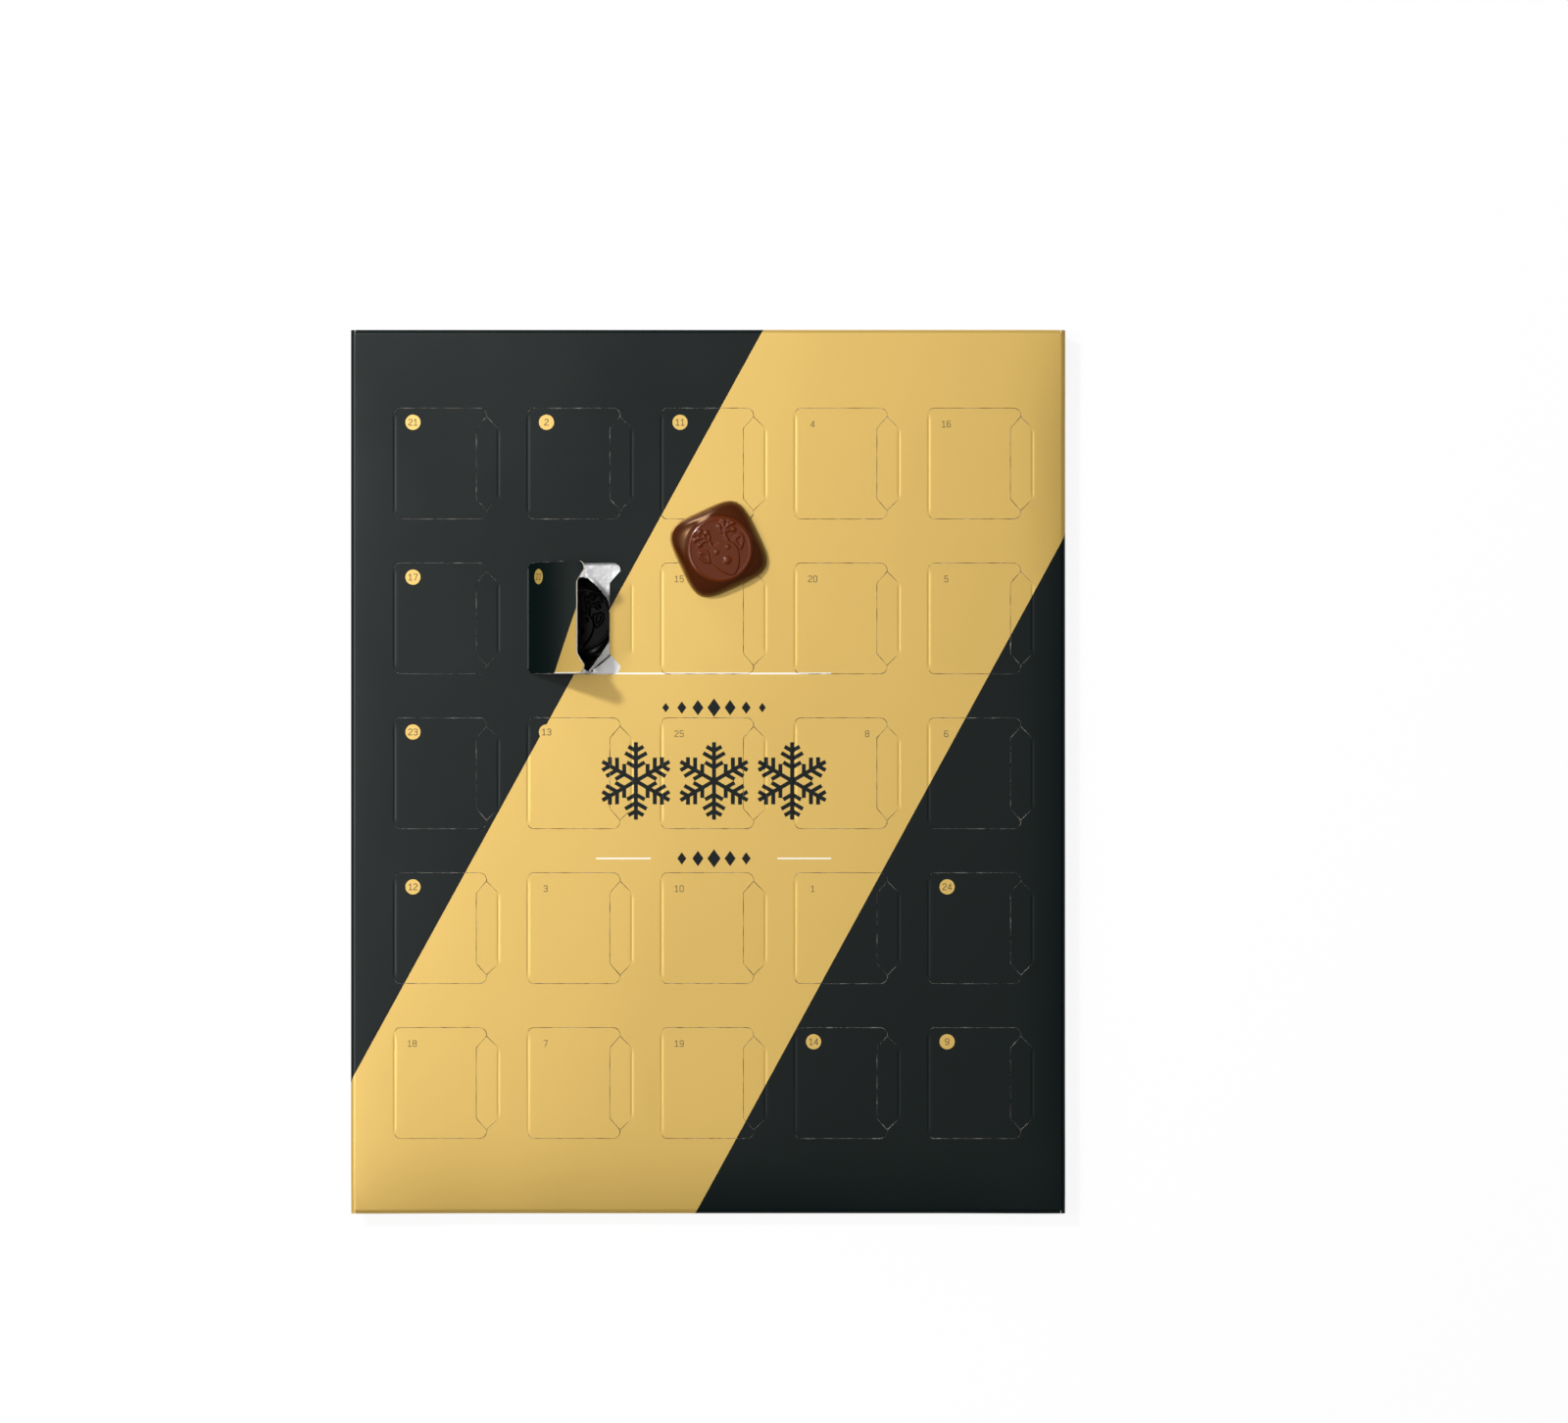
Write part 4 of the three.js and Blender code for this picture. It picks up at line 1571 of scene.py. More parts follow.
@dataclass
class ChocolateForm:
    """A moulded chocolate: a rounded square that slopes in to a round face with a raised drawing."""

    half: float = 14.05
    height: float = 7.0
    face_radius: float = 10.9
    face_level: float = 6.4
    rim_drop: float = 0.36
    rim_width: float = 0.6
    rim_leans: tuple[float, ...] = (0, 18, 36, 52, 66, 78)
    foot_out: float = 0.16
    foot_drop: float = 0.07
    border: float = 0.08
    border_inset: float = 0.25
    border_half: float = 0.28
    plain_rings: int = 10
    sections: tuple[Triple, ...] = (
        (0, 1, BACK_POWER), (0.4, 0.966, 4), (0.65, 0.895, 3.0), (0.8, 0.81, 2.1))
    relief: ReindeerRelief = field(default_factory=ReindeerRelief)

    def side_rings(self, steps: int, sides: int, grow: float) -> list[Array]:
        """Sections from the flat back up to the foot of the face, in the chocolate's own frame.

        Args:
            steps: Sections in all.
            sides: Points round each.
            grow: Room added all round.

        Returns:
            Rings of points.
        """
        knots = smooth_line([(h, s) for h, s, _ in self.sections], False, 8)
        counted = np.arange(len(knots))
        shares = np.interp(np.linspace(0, 1, steps), np.linspace(0, 1, len(knots)), counted)
        rings = []
        for share in shares:
            level, width = (float(np.interp(share, counted, column)) for column in knots.T)
            power = float(np.interp(level, [s[0] for s in self.sections], [s[2] for s in self.sections]))
            ring = superellipse(self.half * width + grow, power, sides)
            rings.append(at_level(ring, level * self.height))
        return rings

    def face_rings(self, count: int, sides: int, grow: float) -> list[Array]:
        """The face from its foot over its rounded rim to a last point, which stands alone.

        Args:
            count: Rings inside the rim.
            sides: Points round each.
            grow: Room added all round.

        Returns:
            Rings of points, and the middle point as a ring of one.
        """
        shoulder = self.face_radius + grow
        rings = [at_level(superellipse(shoulder + self.foot_out, 2, sides),
                          self.face_level - self.rim_drop - self.foot_drop)]
        for lean in self.rim_leans:
            radius = shoulder - self.rim_width * (1 - math.cos(math.radians(lean)))
            level = self.face_level - self.rim_drop * (1 - math.sin(math.radians(lean)))
            rings.append(at_level(superellipse(radius, 2, sides), level))
        for share in (*np.linspace(1, 0, count, endpoint=False), 0):
            ring = superellipse((shoulder - self.rim_width) * share, 2, sides if share else 1)
            away = np.hypot(*ring.T) - (self.face_radius - self.rim_width - self.border_inset)
            drawing = self.relief.height(ring) if count > self.plain_rings else np.zeros(len(ring))
            border = self.border * np.exp(-(away / self.border_half) ** 2)
            rings.append(np.column_stack([ring, self.face_level + drawing + border]))
        return rings


@dataclass
class LooseChocolate:
    """The chocolate that was taken out, lying on the front."""

    form: ChocolateForm
    turn: float = 25.0
    sides: int = 200
    face_count: int = 90
    section_count: int = 14
    edge_round: float = 0.45
    edge_leans: tuple[float, ...] = (27, 63)
    face_shift: Pair = (0.85, -0.45)

    def build(self, finish: Material, side_painted_shade_finish: Material) -> Object:
        """Makes the chocolate where its CAD node lies.

        Args:
            finish: Material of its moulded face.
            side_painted_shade_finish: Material of its sides, a glossier, darker copy of the face: the darker
                colour is painted shade, and the orange tint of its gloss is a painted reflection of the gold
                board.

        Returns:
            The chocolate's object.
        """
        low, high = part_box("chocolate_22")
        centre = (low + high) / 2 / MM
        form, count = self.form, self.sides
        foot = form.side_rings(self.section_count, count, 0)
        inset = superellipse(form.half - self.edge_round, BACK_POWER, count)
        rings = [at_level(inset, 0)]
        for lean in map(math.radians, self.edge_leans):
            mix = inset + (foot[0][:, :2] - inset) * math.sin(lean)
            rings.append(at_level(mix, self.edge_round * (1 - math.cos(lean))))
        rings.append(foot[0] + np.array([0, 0, self.edge_round]))
        rings += [ring for ring in foot[1:] if ring[0, 2] > 2 * self.edge_round]
        flank = len(rings) * count
        rings += form.face_rings(self.face_count, count, 0)
        tip = rings.pop()
        faces = loft(rings)
        points = np.vstack([*rings, tip, [[0, 0, 0]]])
        last = (len(rings) - 1) * count
        faces += [(last + i, last + (i + 1) % count, len(points) - 2) for i in range(count)]
        faces += [((i + 1) % count, i, len(points) - 1) for i in range(count)]
        cos, sin = math.cos(math.radians(self.turn)), math.sin(math.radians(self.turn))
        points = points @ np.array([[cos, sin, 0], [-sin, cos, 0], [0, 0, 1]])
        points[:, :2] += np.outer((points[:, 2] / form.height).clip(0, 1) ** 2, self.face_shift)
        points += np.array([centre[0], centre[1], low[2] / MM])
        # The flank takes the side finish, whose darker colour is painted shade and whose orange-tinted gloss
        # is a painted reflection.
        slots = np.array([int(min(face) < flank) for face in faces])
        made = mesh_object("loose_chocolate", points, faces, [finish, side_painted_shade_finish], slots, sharp=60)
        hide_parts("chocolate_22")
        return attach(made, "chocolate_22")


@dataclass
class Tray:
    """The thermoformed tray: a flat top, a leaning skirt, and a pocket for each chocolate."""

    form: ChocolateForm
    doors: list[DoorPlace]
    half_width: float = 119.1
    half_height: float = 146.7
    top: float = 8.5
    foot: float = 1.2
    sheet: float = 0.4
    clearance: float = 0.15
    recess: float = 0.35
    corner: float = 3.0
    draft: float = 1.5
    lip: float = 0.5
    lip_leans: tuple[float, ...] = (0, 36, 68, 90)
    section_count: int = 10
    open_detail: tuple[int, int] = (128, 60)
    closed_detail: tuple[int, int] = (40, 3)

    def pocket(self, door: DoorPlace) -> tuple[list[Array], Array]:
        """One pocket: the mould of a chocolate that lies in it face down.

        Args:
            door: The door over it.

        Returns:
            Its rings from the mouth down to a last point, and the loop of its mouth.
        """
        sides, count = self.open_detail if door.is_open else self.closed_detail
        form = self.form
        mouth = superellipse(form.half + self.clearance + self.lip, BACK_POWER, sides)
        rings = []
        for lean in map(math.radians, self.lip_leans):
            ring = mouth - superellipse(self.lip, BACK_POWER, sides) * math.sin(lean)
            rings.append(at_level(ring, self.top - self.lip * (1 - math.cos(lean))))
        mould = (form.side_rings(self.section_count, sides, self.clearance)[1:]
                 + form.face_rings(count, sides, self.clearance))
        for ring in mould:
            turned = np.roll((ring * np.array([-1, 1, -1]))[::-1], 1 - len(ring) // 2, axis=0)
            rings.append(turned + np.array([0, 0, self.top - self.recess]))
        at = np.append(door.pocket, 0)
        return [ring + at for ring in rings], mouth + door.pocket

    def build(self, finish: Material) -> Object:
        """Makes the tray.

        Args:
            finish: Its material.

        Returns:
            The tray's object.
        """
        points: list[Array] = []
        faces: list[tuple[int, ...]] = []
        total = 0
        mouths = []
        for door in self.doors:
            rings, mouth = self.pocket(door)
            mouths.append(mouth)
            bottom = rings.pop()
            count = len(rings[0])
            faces += loft(rings, total)
            last = total + (len(rings) - 1) * count
            faces += [(last + i, last + (i + 1) % count, last + count) for i in range(count)]
            points += [*rings, bottom]
            total = last + count + 1
        edge = round_box(self.half_width, self.half_height, self.corner)
        spots, triangles, _ = FlatSheet(edge=edge, openings=mouths).flat_mesh()
        points.append(at_level(spots, self.top))
        faces += [tuple(int(i) + total for i in f) for f in triangles]
        total += len(spots)
        low = edge * np.array([1 - self.draft / self.half_width, 1 - self.draft / self.half_height])
        skirt = [at_level(low, self.foot), at_level(edge, self.top)]
        points += skirt
        faces += loft(skirt, total)
        made = mesh_object("tray_shell", np.vstack(points), faces, [finish], sharp=55)
        solid = made.modifiers.new("sheet", "SOLIDIFY")
        solid.thickness, solid.offset = self.sheet * MM, -1
        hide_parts("tray")
        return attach(made, "carton")


@dataclass
class Foil:
    """The lid of foil over the tray, torn open at the open door."""

    doors: list[DoorPlace]
    form: ChocolateForm
    half_width: float = 117.6
    half_height: float = 145.2
    corner: float = 2.0
    level: float = 8.66
    thickness: float = 0.06
    dip: float = 0.12
    torn_seed: int = 22
    torn_rag: float = 0.14
    torn: Line = (
        (0.06, 0.99), (-0.42, 0.93), (-0.8, 0.66), (-0.93, 0.1), (-0.88, -0.55), (-0.6, -0.92),
        (-0.1, -1.06), (0.2, -1.25), (0.36, -1.04), (0.53, -0.8), (0.68, -0.56), (0.7, -0.1),
        (0.69, 0.34), (0.58, 0.55), (0.44, 0.73), (0.26, 0.9))
    fold_crease: Line = (
        (0.2, -1.25), (0.28, -1.15), (0.36, -1.04), (0.45, -0.92), (0.53, -0.8), (0.61, -0.68), (0.69, -0.54))
    fold_edge: Line = (
        (0.24, -1.26), (0.34, -1.17), (0.42, -1.1), (0.54, -1.0), (0.66, -0.9), (0.75, -0.8), (0.76, -0.6))
    fold_rise: float = 0.3

    @property
    def open_centre(self) -> Array:
        """Middle of the pocket under the open door."""
        return next(door for door in self.doors if door.is_open).pocket

    def hole(self) -> Array:
        """Edge of the tear.

        Returns:
            Its points.
        """
        line = smooth_line([tuple(np.array(p) * self.form.half) for p in self.torn], True, 5)
        draw = random.Random(self.torn_seed)
        rag = np.array([draw.uniform(-self.torn_rag, self.torn_rag) for _ in line])
        return offset(line, rag, True) + self.open_centre

    def fold_line(self) -> Array:
        """Free edge of the strip that is folded back."""
        return np.array(self.fold_edge) * self.form.half + self.open_centre

    def place(self, u: Array, v: Array, depth: Array) -> Array:
        """Brings flat points into the frame: the foil dips over each pocket and lifts along the tear.

        Args:
            u: Flat x.
            v: Flat y.
            depth: How far each point lies under the foil's upper face.

        Returns:
            Points in the frame.
        """
        spots = np.column_stack([u, v])
        height = 0.02 * np.sin(u * 1.1 + 0.6 * np.sin(v * 0.7)) * np.sin(v * 0.9 + 1.2)
        for door in self.doors:
            local = np.abs(spots - door.pocket) / self.form.half
            out = (local[:, 0] ** 4 + local[:, 1] ** 4) ** 0.25
            height -= self.dip * (1 - smoothstep(out, 0.94, 1.03)) * (0.2 if door.is_open else 1)
        away = edge_distance(self.hole(), spots, True)
        lift = (1 - smoothstep(away, 0, 1.5)) * (0.22 + 0.2 * np.sin(u * 1.3 + v * 0.9))
        lift -= 0.4 * np.exp(-(edge_distance(self.fold_line(), spots, False) / 0.4) ** 2)
        return np.column_stack([u, v, self.level + height + lift - depth])

    def add_fold(self, back: Material) -> Object:
        """The torn strip that is folded back over the foil, low on the right of the tear.

        Args:
            back: Material of the foil's underside, which now faces up.

        Returns:
            The strip's object.
        """
        creased, free = np.array(self.fold_crease), np.array(self.fold_edge)
        rings = []
        for share in (0, 0.12, 0.4, 0.7, 1):
            line = (creased + (free - creased) * share) * self.form.half + self.open_centre
            bow = 0.4 + 0.6 * np.sin(np.linspace(0.3, 2.8, len(line)))
            rise = self.fold_rise * (0.25 + 0.75 * share) * bow
            rings.append(np.column_stack([line, self.level + 0.2 + rise]))
        top = np.vstack(rings)
        count, width = len(top), len(creased)
        points = np.vstack([top, top - np.array([0, 0, self.thickness])])
        faces: list[tuple[int, ...]] = []
        for row in range(len(rings) - 1):
            for i in range(width - 1):
                a, b = row * width + i, (row + 1) * width + i
                faces += [(a, b, b + 1, a + 1), (a + count, a + count + 1, b + count + 1, b + count)]
        rim = [*range(width), *range(2 * width - 1, count, width), *range(count - 2, count - width - 1, -1),
               *range(count - 2 * width, 0, -width)]
        faces += [(a, b, b + count, a + count) for a, b in zip(rim, rim[1:] + rim[:1])]
        made = mesh_object("foil_fold", points, faces, [back], sharp=40)
        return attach(made, "carton")

    def build(self, finish: Material, back: Material) -> Object:
        """Makes the foil.

        Args:
            finish: Material of its upper face.
            back: Material of its underside.

        Returns:
            The foil's object.
        """
        edge = round_box(self.half_width, self.half_height, self.corner)
        fill = grid((-115, 116, 5.0), (-142, 143, 5.0))
        guides = []
        for door in self.doors:
            for grow in (-0.9, -0.35, 0.25):
                if not door.is_open:
                    ring = superellipse(self.form.half + grow, BACK_POWER, 40) + door.pocket
                    guides.append(np.vstack([ring, ring[:1]]))
        for out in (-0.4, 0.05, 0.5):
            guides.append(offset(self.fold_line(), np.full(len(self.fold_edge), out), False)[1:-1])
        extra = grid((-17, 18, 0.8), (-19, 20, 0.8)) + self.open_centre
        hole = self.hole()
        extra = extra[(~inside(hole, extra)) & (edge_distance(hole, extra, True) > 0.3)]
        sheet = Sheet(name="foil_lid", edge=edge, place=self.place, thickness=self.thickness,
                      openings=[hole], guides=guides, fillers=np.vstack([fill, extra]), bevel=0.0)
        made = sheet.build({Ink.BLACK: finish, Ink.CORE: finish, Ink.INSIDE: back})
        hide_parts("foil")
        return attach(made, "carton")


# Finishes


FLOAT, COLOUR = "NodeSocketFloat", "NodeSocketColor"


class Nodes:
    """A short way to write a node tree."""

    def __init__(self, tree: NodeTree) -> None:
        """Starts on an empty tree."""
        self.tree = tree
        tree.nodes.clear()

    def add(self, kind: str, inputs: dict[str | int, object] | None = None, **settings: object) -> Node:
        """Adds a node.

        Args:
            kind: Its type.
            inputs: Values or sockets for its inputs, by name or place.
            **settings: Its own settings.

        Returns:
            The node.
        """
        node = self.tree.nodes.new(kind)
        for name, value in settings.items():
            setattr(node, name, value)
        for name, value in (inputs or {}).items():
            if isinstance(value, NodeSocket):
                self.tree.links.new(value, node.inputs[name])
            else:
                node.inputs[name].default_value = value
        return node

    def math(self, operation: str, *values: float | NodeSocket) -> NodeSocket:
        """Works out a sum on a Math node."""
        return self.add("ShaderNodeMath", dict(enumerate(values)), operation=operation).outputs[0]

    def noise(self, scale: NodeSocket, **inputs: float) -> NodeSocket:
        """Noise over the object, from 0 to 1."""
        wanted = {"Vector": self.add("ShaderNodeTexCoord").outputs["Object"], "Scale": scale, **inputs}
        return self.add("ShaderNodeTexNoise", wanted).outputs["Fac"]

    def link(self, out: NodeSocket, into: NodeSocket) -> None:
        """Links two sockets."""
        self.tree.links.new(out, into)


class Effects:
    """Node groups that more than one finish uses."""

    def __init__(self) -> None:
        """Builds each group once."""
        self.mottle = self.make_mottle()
        self.grain = self.make_grain()

    @staticmethod
    def new_group(name: str, inputs: dict[str, tuple[str, object]], outputs: dict[str, str]) -> tuple[
            NodeTree, Nodes, Node, Node]:
        """Starts a node group with named sockets.

        Args:
            name: Name of the group.
            inputs: Type and first value of each input.
            outputs: Type of each output.

        Returns:
            The group, a writer for it, and its input and output nodes.
        """
        tree = bpy.data.node_groups.new(name, "ShaderNodeTree")
        for title, (kind, value) in inputs.items():
            socket = tree.interface.new_socket(name=title, in_out="INPUT", socket_type=kind)
            socket.default_value = value
        for title, kind in outputs.items():
            tree.interface.new_socket(name=title, in_out="OUTPUT", socket_type=kind)
        nodes = Nodes(tree)
        return tree, nodes, nodes.add("NodeGroupInput"), nodes.add("NodeGroupOutput")

    def make_mottle(self) -> NodeTree:
        """Uneven ink or surface: a colour that drifts between two, and a mask of the same drift.

        Returns:
            The group.
        """
        grey = (COLOUR, (0.5, 0.5, 0.5, 1))
        tree, nodes, source, sink = self.new_group(
            "mottle",
            {"Colour": grey, "Drift": grey, "Scale": (FLOAT, 20.0), "Amount": (FLOAT, 0.5),
             "Centre": (FLOAT, 0.5), "Spread": (FLOAT, 0.5)},
            {"Colour": COLOUR, "Mask": FLOAT})
        given = source.outputs
        broad = nodes.noise(given["Scale"], Detail=3.0, Roughness=0.55)
        share = nodes.add("ShaderNodeMapRange", {
            "Value": broad, "From Min": nodes.math("SUBTRACT", given["Centre"], given["Spread"]),
            "From Max": nodes.math("ADD", given["Centre"], given["Spread"]),
            "To Min": 0.0, "To Max": given["Amount"]})
        mix = nodes.add("ShaderNodeMix", {"Factor": share.outputs[0], 6: given["Colour"], 7: given["Drift"]},
                        data_type="RGBA")
        nodes.link(mix.outputs[2], sink.inputs["Colour"])
        nodes.link(broad, sink.inputs["Mask"])
        return tree

    def make_grain(self) -> NodeTree:
        """Fine height of paper or plastic: a close grain over a slower wave.

        Returns:
            The group.
        """
        tree, nodes, source, sink = self.new_group(
            "grain",
            {"Fine Scale": (FLOAT, 2500.0), "Wave Scale": (FLOAT, 150.0),
             "Wave Share": (FLOAT, 0.5)},
            {"Height": FLOAT})
        given = source.outputs
        mix = nodes.add("ShaderNodeMix", {
            "Factor": given["Wave Share"], "A": nodes.noise(given["Fine Scale"], Detail=2.0),
            "B": nodes.noise(given["Wave Scale"], Detail=1.0)})
        nodes.link(mix.outputs[0], sink.inputs["Height"])
        return tree


@dataclass(frozen=True)
class Finish:
    """A surface finish: a drifting colour, a gloss that drifts with it, and a fine grain."""

    name: str
    colour: Triple
    drift: Triple
    roughness: float
    roughness_drift: float = 0.04
    metallic: float = 0.0
    specular: float = 0.5
    ior: float = 1.5
    tint: Triple = (1, 1, 1)
    mottle_scale: float = 25.0
    mottle_amount: float = 0.6
    mottle_centre: float = 0.5
    mottle_spread: float = 0.5
    fine_scale: float = 2500.0
    wave_scale: float = 150.0
    wave_share: float = 0.5
    bump: float = 0.1
    bump_reach: float = 0.0001

    def build(self, effects: Effects) -> Material:
        """Makes the material.

        Args:
            effects: The shared node groups.

        Returns:
            The material.
        """
        material = bpy.data.materials.new(self.name)
        material.use_nodes = True
        nodes = Nodes(material.node_tree)
        drift = nodes.add("ShaderNodeGroup", {
            "Colour": (*self.colour, 1), "Drift": (*self.drift, 1), "Scale": self.mottle_scale,
            "Amount": self.mottle_amount, "Centre": self.mottle_centre, "Spread": self.mottle_spread,
        }, node_tree=effects.mottle)
        gloss = nodes.add("ShaderNodeMapRange", {
            "Value": drift.outputs["Mask"], "From Min": 0.3, "From Max": 0.7,
            "To Min": self.roughness - self.roughness_drift, "To Max": self.roughness + self.roughness_drift})
        grain = nodes.add("ShaderNodeGroup", {
            "Fine Scale": self.fine_scale, "Wave Scale": self.wave_scale, "Wave Share": self.wave_share,
        }, node_tree=effects.grain)
        bump = nodes.add("ShaderNodeBump", {"Strength": self.bump, "Distance": self.bump_reach,
                                            "Height": grain.outputs["Height"]})
        shader = nodes.add("ShaderNodeBsdfPrincipled", {
            "Base Color": drift.outputs["Colour"], "Roughness": gloss.outputs["Result"],
            "Normal": bump.outputs["Normal"], "Metallic": self.metallic, "IOR": self.ior,
            "Specular IOR Level": self.specular, "Specular Tint": (*self.tint, 1)})
        out = nodes.add("ShaderNodeOutputMaterial")
        nodes.link(shader.outputs[0], out.inputs["Surface"])
        return material


BLACK_INK = Finish("black_ink", (0.0008, 0.0046, 0.0042), (0.0015, 0.0054, 0.005), 0.3, specular=0.24,
                   bump=0.06, mottle_scale=18)
GOLD_INK = Finish("gold_ink", (0.69, 0.454, 0.102), (0.661, 0.431, 0.096), 0.42, metallic=0.46, specular=1.0,
                  bump=0.06, mottle_scale=18)
WHITE_INK = Finish("white_ink", (0.98, 0.97, 0.9), (0.94, 0.93, 0.86), 0.45, metallic=0.4, bump=0.06)
LINE_INK = Finish("line_ink", (0.13, 0.085, 0.022), (0.16, 0.1, 0.03), 0.5, bump=0.06)
WORN_BLACK = Finish("worn_black", (0.02, 0.022, 0.021), (0.3, 0.29, 0.27), 0.8, bump=0.3,
                    mottle_scale=170, mottle_amount=1.0, mottle_spread=0.06, mottle_centre=0.54)
# The strip beside a cut on gold: its dark brown is painted shade of the cut's gap, and its light flecks are
# paper fibres.
WORN_GOLD = Finish("worn_gold", (0.19, 0.1, 0.02), (0.75, 0.62, 0.36), 0.8, bump=0.3,
                   mottle_scale=170, mottle_amount=1.0, mottle_spread=0.05, mottle_centre=0.56)
BOARD_CORE = Finish("board_core", (0.98, 0.93, 0.82), (0.68, 0.63, 0.55), 0.85, bump=0.3, mottle_scale=300)
BOARD_INSIDE = Finish("board_inside", (0.62, 0.6, 0.55), (0.54, 0.51, 0.46), 0.8, bump=0.25, mottle_scale=60)
TRAY_PLASTIC = Finish("tray_plastic", (0.002, 0.003, 0.003), (0.0015, 0.002, 0.002), 0.16, specular=0.14,
                      bump=0.1, bump_reach=0.0003, wave_share=0.9, wave_scale=350)
LID_FOIL = Finish("lid_foil", (0.68, 0.68, 0.69), (0.6, 0.6, 0.61), 0.4, metallic=0.9, bump=0.5,
                  bump_reach=0.0003, wave_share=0.8, wave_scale=420, mottle_scale=120)
FOIL_BACK = Finish("foil_back", (0.86, 0.86, 0.86), (0.8, 0.8, 0.8), 0.5, metallic=0.5, bump=0.4,
                   wave_share=0.8, wave_scale=420)
MILK_CHOCOLATE = Finish("milk_chocolate", (0.118, 0.021, 0.003), (0.098, 0.016, 0.002), 0.19, 0.02, bump=0.02,
                        specular=0.21, fine_scale=1200, wave_scale=260, wave_share=0.7, mottle_scale=90)
# The chocolate's sides: a darker copy of the chocolate colour as painted shade, and an orange specular tint
# as a painted reflection of the gold board.
CHOCOLATE_SIDE_PAINTED_SHADE = Finish("chocolate_side_painted_shade", (0.06, 0.01, 0.0015), (0.045, 0.007, 0.001), 0.2, 0.02, bump=0.04,
                        ior=1.75, tint=(1, 0.6, 0.32), fine_scale=1200, wave_scale=260, wave_share=0.8,
                        mottle_scale=90)
INK_FINISHES = {
    Ink.BLACK: BLACK_INK, Ink.GOLD: GOLD_INK, Ink.WHITE: WHITE_INK, Ink.LINE: LINE_INK, Ink.CORE: BOARD_CORE,
    Ink.INSIDE: BOARD_INSIDE, Ink.WORN_BLACK: WORN_BLACK, Ink.WORN_GOLD: WORN_GOLD}


# Studio


@dataclass(frozen=True)
class Lamp:
    """A round lamp that faces the carton, placed in degrees; its size is in metres and its power in watts."""

    name: str
    azimuth: float
    elevation: float
    size: float
    power: float


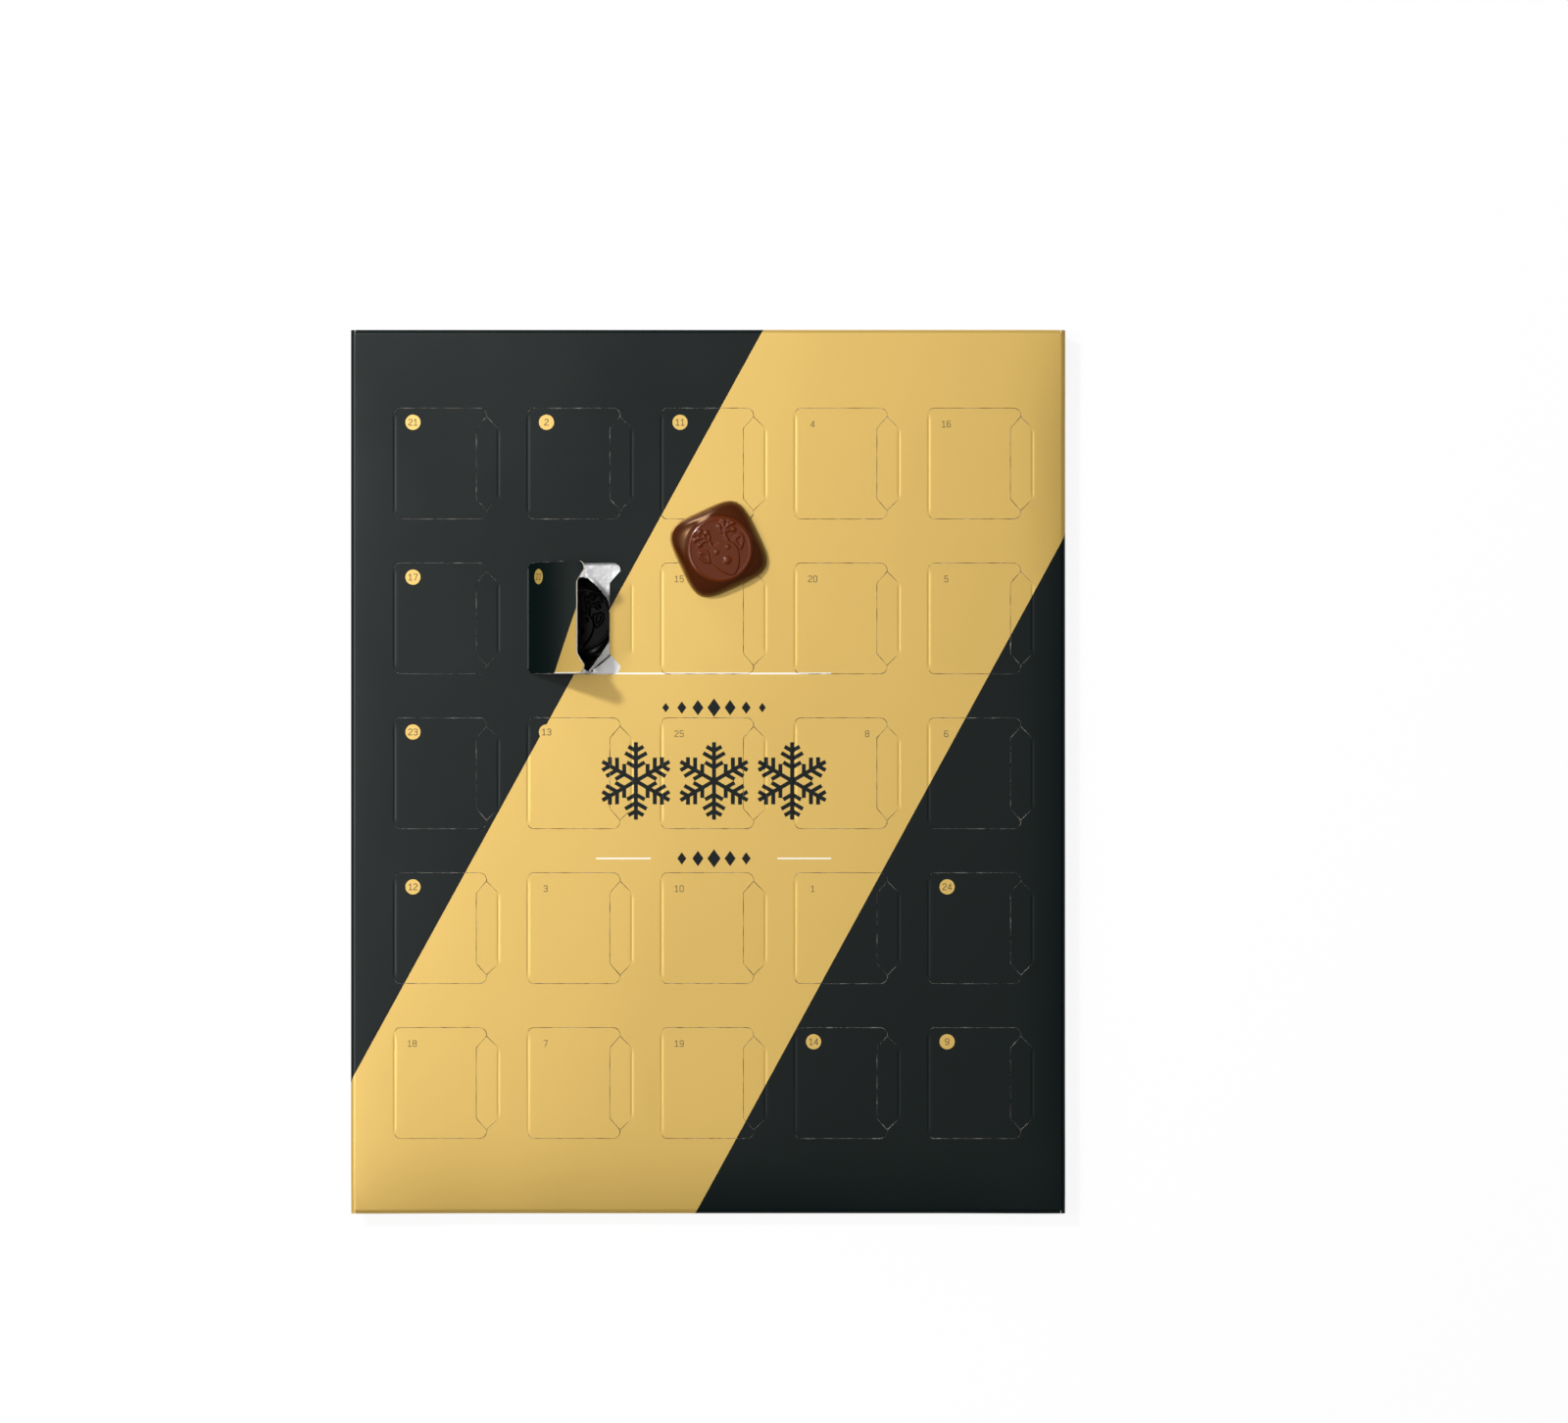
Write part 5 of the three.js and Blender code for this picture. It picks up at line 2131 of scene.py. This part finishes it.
@dataclass
class Studio:
    """Floor, light and camera, in metres."""

    camera_place: Triple = (0.02548, 0.0203, 1.2434)
    lens: float = 84.375
    lamp_distance: float = 1.5
    lamps: tuple[Lamp, ...] = (Lamp("key", 138.0, 54.5, 0.13, 13.0), Lamp("strip", 187.0, 60.0, 0.55, 4.6),
                               Lamp("rim", 118.0, 16.0, 0.4, 3.5))
    glow_azimuth: float = 166.0
    glow_elevation: float = 68.0
    glow_power: float = 8.0
    glow_strength: float = 1.4
    glow_edge: Pair = (-0.36, -0.1)
    ambient: float = 0.12
    shadow_share: float = 0.12
    floor_grey: float = 0.82
    floor_glow: float = 1.03
    floor_half: float = 6.0
    floor_drop: float = 0.00025

    def add_camera(self) -> None:
        """Sets the camera over the front, as the photograph is taken."""
        camera = bpy.data.objects.new("camera", bpy.data.cameras.new("camera"))
        camera.data.lens = self.lens
        camera.data.sensor_width = 36
        camera.data.clip_end = 20
        camera.location = self.camera_place
        bpy.context.scene.collection.objects.link(camera)
        bpy.context.scene.camera = camera

    @staticmethod
    def direction(azimuth: float, elevation: float) -> Vector:
        """Unit vector towards a place in the sky, from degrees round from +X and above the horizon."""
        turn, rise = math.radians(azimuth), math.radians(elevation)
        return Vector((math.cos(turn) * math.cos(rise), math.sin(turn) * math.cos(rise), math.sin(rise)))

    def add_lamp(self, lamp: Lamp) -> None:
        """Hangs a lamp.

        Args:
            lamp: The lamp.
        """
        data = bpy.data.lights.new(lamp.name, "AREA")
        data.shape, data.size, data.energy = "DISK", lamp.size, lamp.power
        made = bpy.data.objects.new(lamp.name, data)
        towards = self.direction(lamp.azimuth, lamp.elevation)
        made.location = towards * self.lamp_distance
        made.rotation_euler = towards.to_track_quat("Z", "Y").to_euler()
        bpy.context.scene.collection.objects.link(made)

    def add_world(self) -> None:
        """Lights the scene from one wide soft glow overhead that ends low down; the camera sees white."""
        world = bpy.data.worlds.new("studio")
        bpy.context.scene.world = world
        world.use_nodes = True
        nodes = Nodes(world.node_tree)
        place = nodes.add("ShaderNodeTexCoord")
        towards = self.direction(self.glow_azimuth, self.glow_elevation)
        near = nodes.add("ShaderNodeVectorMath", {0: place.outputs["Generated"], 1: towards},
                         operation="DOT_PRODUCT")
        lobe = nodes.math("POWER", nodes.math("MAXIMUM", near.outputs["Value"], 0.0), self.glow_power)
        axes = nodes.add("ShaderNodeSeparateXYZ", {"Vector": place.outputs["Generated"]})
        edge = nodes.add("ShaderNodeMapRange", {
            "Value": axes.outputs["Y"], "From Min": self.glow_edge[0], "From Max": self.glow_edge[1],
            "To Min": 0.0, "To Max": self.glow_strength}, interpolation_type="SMOOTHSTEP")
        level = nodes.math("MULTIPLY_ADD", lobe, edge.outputs["Result"], self.ambient)
        ray = nodes.add("ShaderNodeLightPath")
        seen = nodes.add("ShaderNodeMix", {"Factor": ray.outputs["Is Camera Ray"], "A": level, "B": 1.0})
        light = nodes.add("ShaderNodeBackground", {"Color": (1, 1, 1, 1), "Strength": seen.outputs[0]})
        out = nodes.add("ShaderNodeOutputWorld")
        nodes.link(light.outputs[0], out.inputs["Surface"])

    def add_floor(self) -> None:
        """Lays a plain white floor that keeps a faint shadow."""
        material = bpy.data.materials.new("floor")
        material.use_nodes = True
        nodes = Nodes(material.node_tree)
        matt = nodes.add("ShaderNodeBsdfDiffuse", {"Color": (*[self.floor_grey] * 3, 1)})
        white = nodes.add("ShaderNodeEmission", {"Color": (1, 1, 1, 1), "Strength": self.floor_glow})
        ray = nodes.add("ShaderNodeLightPath")
        seen = nodes.math("MULTIPLY", ray.outputs["Is Camera Ray"], 1 - self.shadow_share)
        mix = nodes.add("ShaderNodeMixShader", {0: seen, 1: matt.outputs[0], 2: white.outputs[0]})
        out = nodes.add("ShaderNodeOutputMaterial")
        nodes.link(mix.outputs[0], out.inputs["Surface"])
        corners = self.floor_half / MM * np.array([(-1, -1), (1, -1), (1, 1), (-1, 1)])
        floor = mesh_object("floor", at_level(corners, -self.floor_drop / MM), [(0, 1, 2, 3)], [material])

    def build(self) -> None:
        """Sets the whole studio up."""
        bpy.context.scene.view_settings.view_transform = "Standard"
        self.add_camera()
        for lamp in self.lamps:
            self.add_lamp(lamp)
        self.add_world()
        self.add_floor()


def read_doors(frame: dict) -> list[DoorPlace]:
    """Finds the doors from the frame's hinges.


    Returns:
        The doors, by number.
    """
    doors = []
    for joint in frame["joints"]:
        name = joint["name"]
        if name.startswith("door_"):
            x, y, _ = (c / MM for c in joint["pos_m"])
            doors.append(DoorPlace(int(name.split("_")[1]), x, y, joint["range_deg"][0] < 0))
    return sorted(doors, key=lambda door: door.number)


def report(piece: Object) -> None:
    """Logs a finished piece."""
    log.info("%s: %d faces", piece.name, len(piece.data.polygons))


def main() -> None:
    """Builds the calendar and its studio, and reports each piece."""
    logging.basicConfig(level=logging.INFO, format="%(name)s: %(message)s")
    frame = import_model()
    doors = read_doors(frame)
    front_corner, end_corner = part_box("front_panel")[1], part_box("top_end_closure")[1]
    shape = DoorShape()
    surface = FrontSurface(front_corner.z / MM, front_corner.x / MM, end_corner.y / MM, shape, doors)
    artwork, effects = Artwork(doors, shape.height), Effects()
    inks = {ink: finish.build(effects) for ink, finish in INK_FINISHES.items()}
    report(CartonBlank(surface, artwork).build(inks))
    for door in doors:
        report(DoorLeaf(surface, artwork, door).build(inks))
        if door.is_open:
            report(ThumbFlap(surface, artwork, door).build(inks))
    form = ChocolateForm()
    chocolate = MILK_CHOCOLATE.build(effects)
    report(LooseChocolate(form).build(chocolate, CHOCOLATE_SIDE_PAINTED_SHADE.build(effects)))
    sealed = [node for name, node in frame["nodes"].items()
              if name.startswith("chocolate_") and not node.hide_render]
    for place in (place for node in sealed for place in node.material_slots):
        place.material = chocolate
    log.info("sealed chocolates: %d dressed", len(sealed))
    report(Tray(form, doors).build(TRAY_PLASTIC.build(effects)))
    foil, back = Foil(doors, form), FOIL_BACK.build(effects)
    report(foil.build(LID_FOIL.build(effects), back))
    report(foil.add_fold(back))
    Studio().build()
    bpy.context.view_layer.update()


if __name__ == "__main__":
    main()
